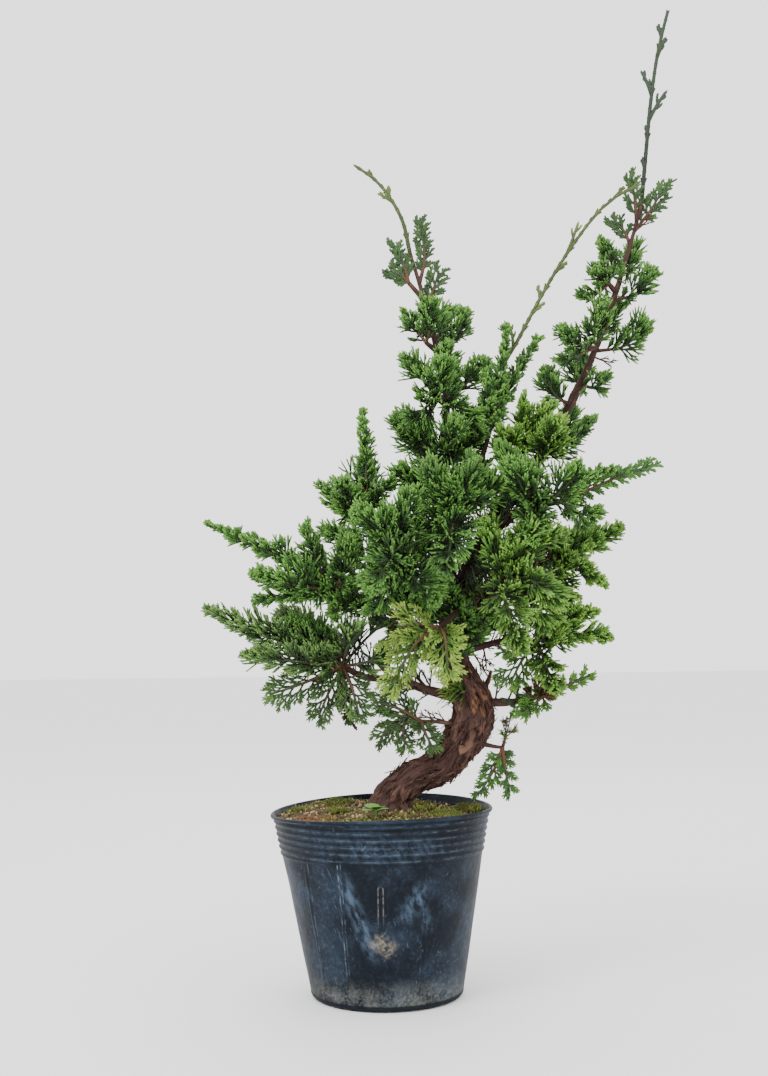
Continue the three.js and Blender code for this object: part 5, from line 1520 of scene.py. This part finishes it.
@dataclass
class LeafySprays:
    """The leafy growth: tufts of forked cords all round each stem, juvenile needles low down, and wild shoots."""

    wood: TreeWood
    seed: int = 20459
    cord_radius: float = 0.66
    spacing: float = 1.45
    stretch: float = 1.1
    nearest_y: float = -69.0
    brush_foot: Place = (41.0, -6.0, 163.0)
    brush_way: Place = (-0.75, -0.65, 0.1)
    twigs: list[tuple[Path, float]] = field(default_factory=list)

    def stem(self, limb: str, share: float, points: list[tuple[float, ...]], reach: float, alive: float = 1.0) -> Stem:
        """A stem that leaves a limb at a share of its length; the twig that it starts from is kept for the wood."""
        path = Path([self.wood.curves[limb][0].at(share), *points])
        if share == 1:
            bare = 0.0
            self.twigs.append((Path(path.at(np.linspace(-0.02, 0.2, 4))), 1.1))
        else:
            bare = max(float(self.wood.radius_at(limb, share)) + 2.5, path.length * 0.2) / path.length
            self.twigs.append((Path(path.at(np.linspace(0, min(1, bare + 0.12), 5))), 1.2))
        return Stem(path, bare, reach, alive)

    def shoots(self, stem: Stem, rng: Draws) -> Cords:
        """First-order shoots of a leafy stem, turned by the golden angle, that lean out less towards the tip.

        A shoot is cut short where it would pass nearest_y.
        """
        count = max(8, round(stem.length / self.spacing))
        s = (np.arange(count) + rng.random(count)) / count
        start, onward = stem.path.at(stem.shares(s)), stem.path.ways(stem.shares(s))
        turn = np.arange(count) * GOLDEN_ANGLE + rng.normal(size=count) * 0.3
        out = turned(onward, (0.12, 0.3, 0.95), turn)
        lean = (1.1 - 0.75 * s)[:, None]
        way = out * np.sin(lean) + onward * np.cos(lean)
        way = unit(way + UP * 0.22 + rng.uniform(-0.15, 0.15, out.shape))
        length = np.maximum(5.0, self.stretch * stem.reach * stem.spread(s)) * rng.uniform(0.85, 1.2, count)
        length *= np.where(rng.random(count) < 0.12, 1.3, 1.0)
        room = (start[:, 1] - self.nearest_y) / np.maximum(0.05, -way[:, 1])
        length = np.minimum(length, np.maximum(4.0, room))
        normal = unit(np.cross(way, rng.normal(size=way.shape)))
        bend = UP * 0.22 + onward * 0.25 + rng.normal(size=way.shape) * 0.1
        fresh = np.clip(0.03 + 0.28 * s + rng.uniform(-0.05, 0.1, count), 0, 1)
        return Cords(start, way, bend, length, normal, fresh, rng.uniform(0.15, 0.85, count))

    def tuft(self, shape: Shape, stem: Stem, rng: Draws) -> None:
        """Adds a stem full of fans: shoots, side cords that fill the wedge ahead of them, and short ones on those."""
        radius, alive = self.cord_radius, stem.alive
        stem.bar(shape, 1.0, 0.7, (0.0, 0.4 * alive))
        shoots = self.shoots(stem, rng).in_the_light()
        shoots.draw(shape, 4, radius, alive=alive)
        sides = shoots.forks((0.08, 0.2, 0.32, 0.44, 0.57, 0.71), 0.62, 0.95, rng)
        sides.draw(shape, 3, radius * 0.95, alive=alive)
        count = len(shoots.length)
        short = sides.kept(slice(count * 5)).forks((0.22, 0.52), 0.5, 0.9, rng)
        short.kept(slice(count * 8)).draw(shape, 2, radius * 0.9, alive=alive)

    def open_spray(self, shape: Shape, stem: Stem, firm: bool, rng: Draws) -> None:
        """Adds a loose flat spray: a bare stem with long side shoots left and right by turns, forked twice, curled up.

        Args:
            shape: the spray's shape.
            stem: its stem.
            firm: whether its cords are fewer, shorter and thicker, as on the leaders' tips.
            rng: the draws.
        """
        stem.bar(shape, 1.15, 0.6, (0.0, 0.25))
        count = max(7, round(stem.length / (2.4 if firm else 2.9)))
        s = (np.arange(count) + rng.random(count) * 0.5) / count
        start, onward = stem.path.at(stem.shares(s)), stem.path.ways(stem.shares(s))
        face = unit(np.array([0.15, -1.0, 0.25]) + rng.normal(size=3) * 0.15)
        side = unit(np.cross(onward, face)) * np.where(np.arange(count) % 2, 1.0, -1.0)[:, None]
        way = onward * 0.8 + side * (1.0 - 0.6 * s)[:, None]
        way = unit(way + face * rng.uniform(-0.35, 0.2, (count, 1)))
        length = (0.9 if firm else 1.25) * stem.reach * stem.spread(s) * rng.uniform(0.75, 1.2, count)
        normal = unit(face + rng.normal(size=way.shape) * 0.2)
        bend = UP * 0.25 + onward * 0.45 + rng.normal(size=way.shape) * 0.18
        tint = rng.uniform(0.2, 0.9, count)
        shoots = Cords(start, way, bend, np.maximum(5.0, length), normal, 0.25 + 0.3 * s, tint).in_the_light()
        if firm:
            shoots.draw(shape, 5, 0.86, 4, stem.alive)
            sides = shoots.forks((0.26, 0.46, 0.66, 0.84), 0.72, 0.8, rng)
            sides.draw(shape, 4, 0.8, 4, stem.alive)
            sides.forks((0.4, 0.7), 0.6, 0.75, rng).draw(shape, 3, 0.74, 4, stem.alive)
            return
        shoots.draw(shape, 5, 0.68, alive=stem.alive)
        sides = shoots.forks((0.2, 0.34, 0.48, 0.62, 0.78), 0.7, 0.85, rng).in_the_light()
        sides.draw(shape, 4, 0.62, alive=stem.alive)
        sides.forks((0.3, 0.55, 0.75), 0.6, 0.75, rng).draw(shape, 3, 0.56, alive=stem.alive)

    def thicket(self) -> Shape:
        """Short bare and half-dead twigs that fill the shade inside the crown."""
        rng = np.random.default_rng(self.seed + 300)
        shape = Shape()
        for limb, low, high, count, reach in THICKET:
            path = self.wood.curves[limb][0]
            s = rng.uniform(low, high, count)
            onward = path.ways(s)
            out = turned(onward, (0.1, 0.3, 0.9), rng.uniform(0, 2 * math.pi, count))
            way = unit(out + onward * 0.5 + UP * 0.25 + rng.normal(size=out.shape) * 0.2)
            length = reach * rng.uniform(0.55, 1.1, count)
            bend = UP * 0.3 + rng.normal(size=way.shape) * 0.2
            normal = unit(np.cross(way, rng.normal(size=way.shape)))
            twigs = Cords(path.at(s), way, bend, length, normal, 0.0 * s, rng.uniform(0.1, 0.9, count))
            twigs.draw(shape, 4, 0.5, alive=0.3)
            sides = twigs.forks((0.4, 0.6, 0.8), 0.7, 0.85, rng)
            sides.draw(shape, 2, 0.46, alive=0.42)
            sides.forks((0.5,), 0.6, 0.9, rng).draw(shape, 2, 0.44, alive=0.5)
        return shape

    def wild_shoot(self, shape: Shape, node: str, stem: Stem, rng: Draws) -> None:
        """Adds a long smooth shoot with pressed scale leaves, swollen joints, and its forked branchlets."""
        path, bold = stem.path, 1.25 if node == "runner_right" else 1.0
        stem.bar(shape, 1.35, 0.85 * bold, (0.4, 0.75))
        self.scales(shape, path, rng)
        start, tip = np.array(RUNNER_FORKS[node], float).swapaxes(0, 1)
        near = np.array([np.argmin(np.linalg.norm(path.dense - place, axis=1)) for place in start])
        share = path.shares[near]
        start = path.at(share)
        ahead = unit(tip - start)
        way = unit(ahead + path.ways(share) * 0.35)
        length, half = np.linalg.norm(tip - start, axis=1), np.full(len(start), 0.5)
        normal = np.broadcast_to(np.array([0.1, 1.0, 0.1]), way.shape)
        branchlets = Cords(start, way, (ahead - way) * 2, length, normal, half, half)
        branchlets.draw(shape, 7, bold, 5)
        branchlets.forks((0.35, 0.5, 0.68), 0.75, 0.55, rng).draw(shape, 4, 0.78 * bold, 5)

    def scales(self, shape: Shape, path: Path, rng: Draws) -> None:
        """Small scale leaves pressed to a shoot, in turned pairs, with swollen pairs at its joints."""
        pairs = round(path.length / 2.6)
        s = np.repeat((np.arange(pairs) + 0.5) / pairs, 2)
        onward = path.ways(s)
        first, second = across(onward, (0.2, 0.9, 0.3))
        turn = np.arange(2 * pairs) * math.pi + np.repeat(np.arange(pairs) % 2, 2) * math.pi / 2
        out = first * np.cos(turn)[:, None] + second * np.sin(turn)[:, None]
        joint = np.repeat((np.arange(pairs) % 5 == 3).astype(float), 2)
        start = path.at(s) + out * (1.35 - 0.5 * s)[:, None] * 0.5
        way = unit(onward + out * (0.1 + 0.18 * joint)[:, None])
        tint = rng.uniform(0.35, 0.65, 2 * pairs)
        Cords(start, way, out * 0.04, 2.6 + 1.2 * joint, second, 0.42 + 0.35 * s, tint).draw(shape, 3, 0.5, 4)

    def needles(self, shape: Shape, stem: Stem, rng: Draws) -> None:
        """Adds juvenile growth: thin twigs set with fine pointed needles that stand out all round."""
        stem.bar(shape, 0.6, 0.35, (0.02, 0.4))
        path = stem.path
        count, needle_rows = 6, 26
        s = (np.arange(count) + 0.5) / count
        onward = path.ways(s)
        first, second = across(onward, (0.2, 0.9, 0.3))
        turn = np.arange(count) * 2.4
        way = unit(first * np.cos(turn)[:, None] + second * np.sin(turn)[:, None] + onward * 0.9)
        length = stem.reach * rng.uniform(1.0, 1.5, count)
        twigs = Cords(path.at(s), way, -0.35 * UP + 0 * way, length, second, 0.3 + 0 * s, 0.5 + 0 * s)
        twigs.draw(shape, 6, 0.36)
        for k in range(needle_rows):
            t = np.full(count, 0.06 + k * 0.036)
            ahead = twigs.direction(t)
            one, two = across(ahead, (0.3, 0.2, 0.9))
            angle = k * 2.2 + np.arange(count)
            out = one * np.cos(angle)[:, None] + two * np.sin(angle)[:, None]
            length, tint = rng.uniform(2.0, 3.4, count), rng.uniform(0.4, 1.0, count)
            blades = Cords(twigs.at(t), unit(out + ahead * 0.9), 0.2 * ahead, length, two, 0.5 + 0 * t, tint)
            blades.draw(shape, 2, 0.24)

    def brush(self, shape: Shape, rng: Draws) -> None:
        """A brush of juvenile needles that grows straight from the front of the trunk."""
        count = 90
        start = np.array(self.brush_foot) + rng.normal(size=(count, 3)) * (2.5, 1.0, 3.0)
        way = unit(np.array(self.brush_way) + rng.normal(size=(count, 3)) * (0.3, 0.25, 0.45))
        length = rng.uniform(7, 14, count)
        bend = rng.normal(size=(count, 3)) * 0.3
        blades = Cords(start, way, bend, length, way[:, [1, 2, 0]], 0.3 + 0 * length, 0.2 + 0 * length)
        blades.draw(shape, 4, 0.36)

    @staticmethod
    def habit(name: str) -> Habit:
        """How a spray grows, by its name."""
        if name.startswith("runner"):
            return Habit.SHOOT
        return Habit.NEEDLES if name == "right_bottom" else Habit.TUFT

    def build(self) -> None:
        """Makes one piece for each spray and inner tuft, and keeps the twigs that the wood needs."""
        finishes = {tone: ScaleLeaf(tone).build() for tone in LeafTone}
        green = finishes[LeafTone.GREEN]
        for k, (name, (limb, share, stems)) in enumerate(SPRAYS.items()):
            rng = np.random.default_rng(self.seed + k)
            shape = Shape()
            habit, tone = self.habit(name), SPRAY_TONES.get(name, LeafTone.GREEN)
            for index, (reach, *points) in enumerate(stems):
                is_open = index in OPEN_STEMS.get(name, ())
                alive = OPEN_ALIVE if is_open and tone is not LeafTone.BRIGHT else 1.0
                stem = self.stem(limb, share, points, reach, alive)
                if is_open:
                    self.open_spray(shape, stem, "_tip" in name, rng)
                elif habit is Habit.NEEDLES:
                    self.needles(shape, stem, rng)
                elif habit is Habit.TUFT:
                    self.tuft(shape, stem, rng)
                elif index == 0:
                    self.wild_shoot(shape, name, stem, rng)
                else:
                    tufts = Shape()
                    self.tuft(tufts, stem, rng)
                    tufts.piece(f"spray_{name}_{index}", green, "foliage")
            if name == "front_hanging":
                self.brush(shape, rng)
            if habit is Habit.SHOOT:
                shape.piece(name, finishes[tone], "runner", (name,))
            else:
                shape.piece(f"spray_{name}", finishes[tone], "foliage", (f"foliage_{name}",))
        for name, row in EXTRA_STEMS.items():
            shape = Shape()
            self.tuft(shape, self.stem(*row), np.random.default_rng(self.seed + 97 + len(name)))
            shape.piece(f"spray_{name}", green, "foliage")
        self.thicket().piece("inner_twigs", finishes[LeafTone.GREY], "foliage")


@dataclass(frozen=True)
class Studio:
    """Plain pale floor, soft lights and the camera. A lamp is its name, place, power and width."""

    eye: Place = (0.0013, -0.755, 0.192)
    pitch: float = 4.1
    roll: float = -0.75
    lens: float = 45.77
    sky: float = 2.2
    floor_half: float = 6.0
    floor_z: float = -0.0004
    aim: Place = (0.02, 0, 0.22)
    lamps: tuple = (
        ("key", (-0.5, -0.7, 1.3), 11.5, 0.5), ("fill", (0.9, -0.8, 0.6), 2, 0.9), ("back", (0.2, 0.9, 1.2), 5, 0.9),
    )

    def build(self) -> None:
        """Adds the floor, the lights and the camera."""
        g = Graph("floor_paint")
        paint = g.finish(g.mix(g.noise(3, 2), (0.80, 0.80, 0.80), (0.84, 0.84, 0.84)), 0.7)
        mesh = bpy.data.meshes.new("floor")
        half = self.floor_half
        mesh.from_pydata([(-half, -half, 0), (half, -half, 0), (half, half, 0), (-half, half, 0)], [], [(0, 1, 2, 3)])
        mesh.materials.append(paint)
        floor = bpy.data.objects.new("floor", mesh)
        floor.location.z = self.floor_z
        bpy.context.scene.collection.objects.link(floor)
        world = bpy.data.worlds.new("studio")
        world.use_nodes = True
        background = world.node_tree.nodes["Background"]
        background.inputs["Color"].default_value = (1, 1, 1, 1)
        background.inputs["Strength"].default_value = self.sky
        bpy.context.scene.world = world
        for lamp in self.lamps:
            self.light(*lamp)
        camera = bpy.data.objects.new("camera", bpy.data.cameras.new("camera"))
        camera.data.lens = self.lens
        camera.data.sensor_width = 36
        camera.location = self.eye
        camera.rotation_mode = "QUATERNION"
        turn = Euler((math.radians(90 + self.pitch), 0, 0)).to_quaternion()
        camera.rotation_quaternion = turn @ Euler((0, 0, math.radians(self.roll))).to_quaternion()
        bpy.context.scene.collection.objects.link(camera)
        bpy.context.scene.camera = camera

    def light(self, name: str, place: Place, power: float, size: float) -> None:
        """Adds a square area light that faces the middle of the tree."""
        data = bpy.data.lights.new(name, "AREA")
        data.energy, data.size = power, size
        lamp = bpy.data.objects.new(name, data)
        lamp.location = place
        lamp.rotation_euler = (Vector(self.aim) - Vector(place)).to_track_quat("-Z", "Y").to_euler()
        bpy.context.scene.collection.objects.link(lamp)


def main() -> None:
    """Builds every piece over the solids."""
    logging.basicConfig(level=logging.INFO, format="%(message)s")
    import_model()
    Studio().build()
    NurseryPot().build()
    bed = SoilBed()
    moss_green = (0.085, 0.095, 0.018)
    crumb = (0.012, 0.008, 0.005), (0.060, 0.038, 0.018), (0.15, 0.11, 0.045)
    bed.bed(Mottled("soil_crumb", *crumb, 600, 0.3, moss_green).build())
    clay = (0.025, 0.015, 0.010), (0.16, 0.105, 0.048), (0.50, 0.39, 0.21)
    bed.clay(Mottled("clay_grain", *clay, 900, 0.1, moss_green).build())
    moss = (0.045, 0.042, 0.012), (0.10, 0.115, 0.022), (0.20, 0.26, 0.045)
    MossCover().build(bed, Mottled("moss_leaf", *moss, 700, 0.05).build())
    weed = (0.035, 0.10, 0.015), (0.07, 0.18, 0.03), (0.14, 0.28, 0.06)
    Seedling().build(Mottled("weed_leaf", *weed, 300, 0.08).build())
    wood = TreeWood()
    sprays = LeafySprays(wood)
    sprays.build()
    wood.build(sprays.twigs, Bark().build())


if __name__ == "__main__":
    main()
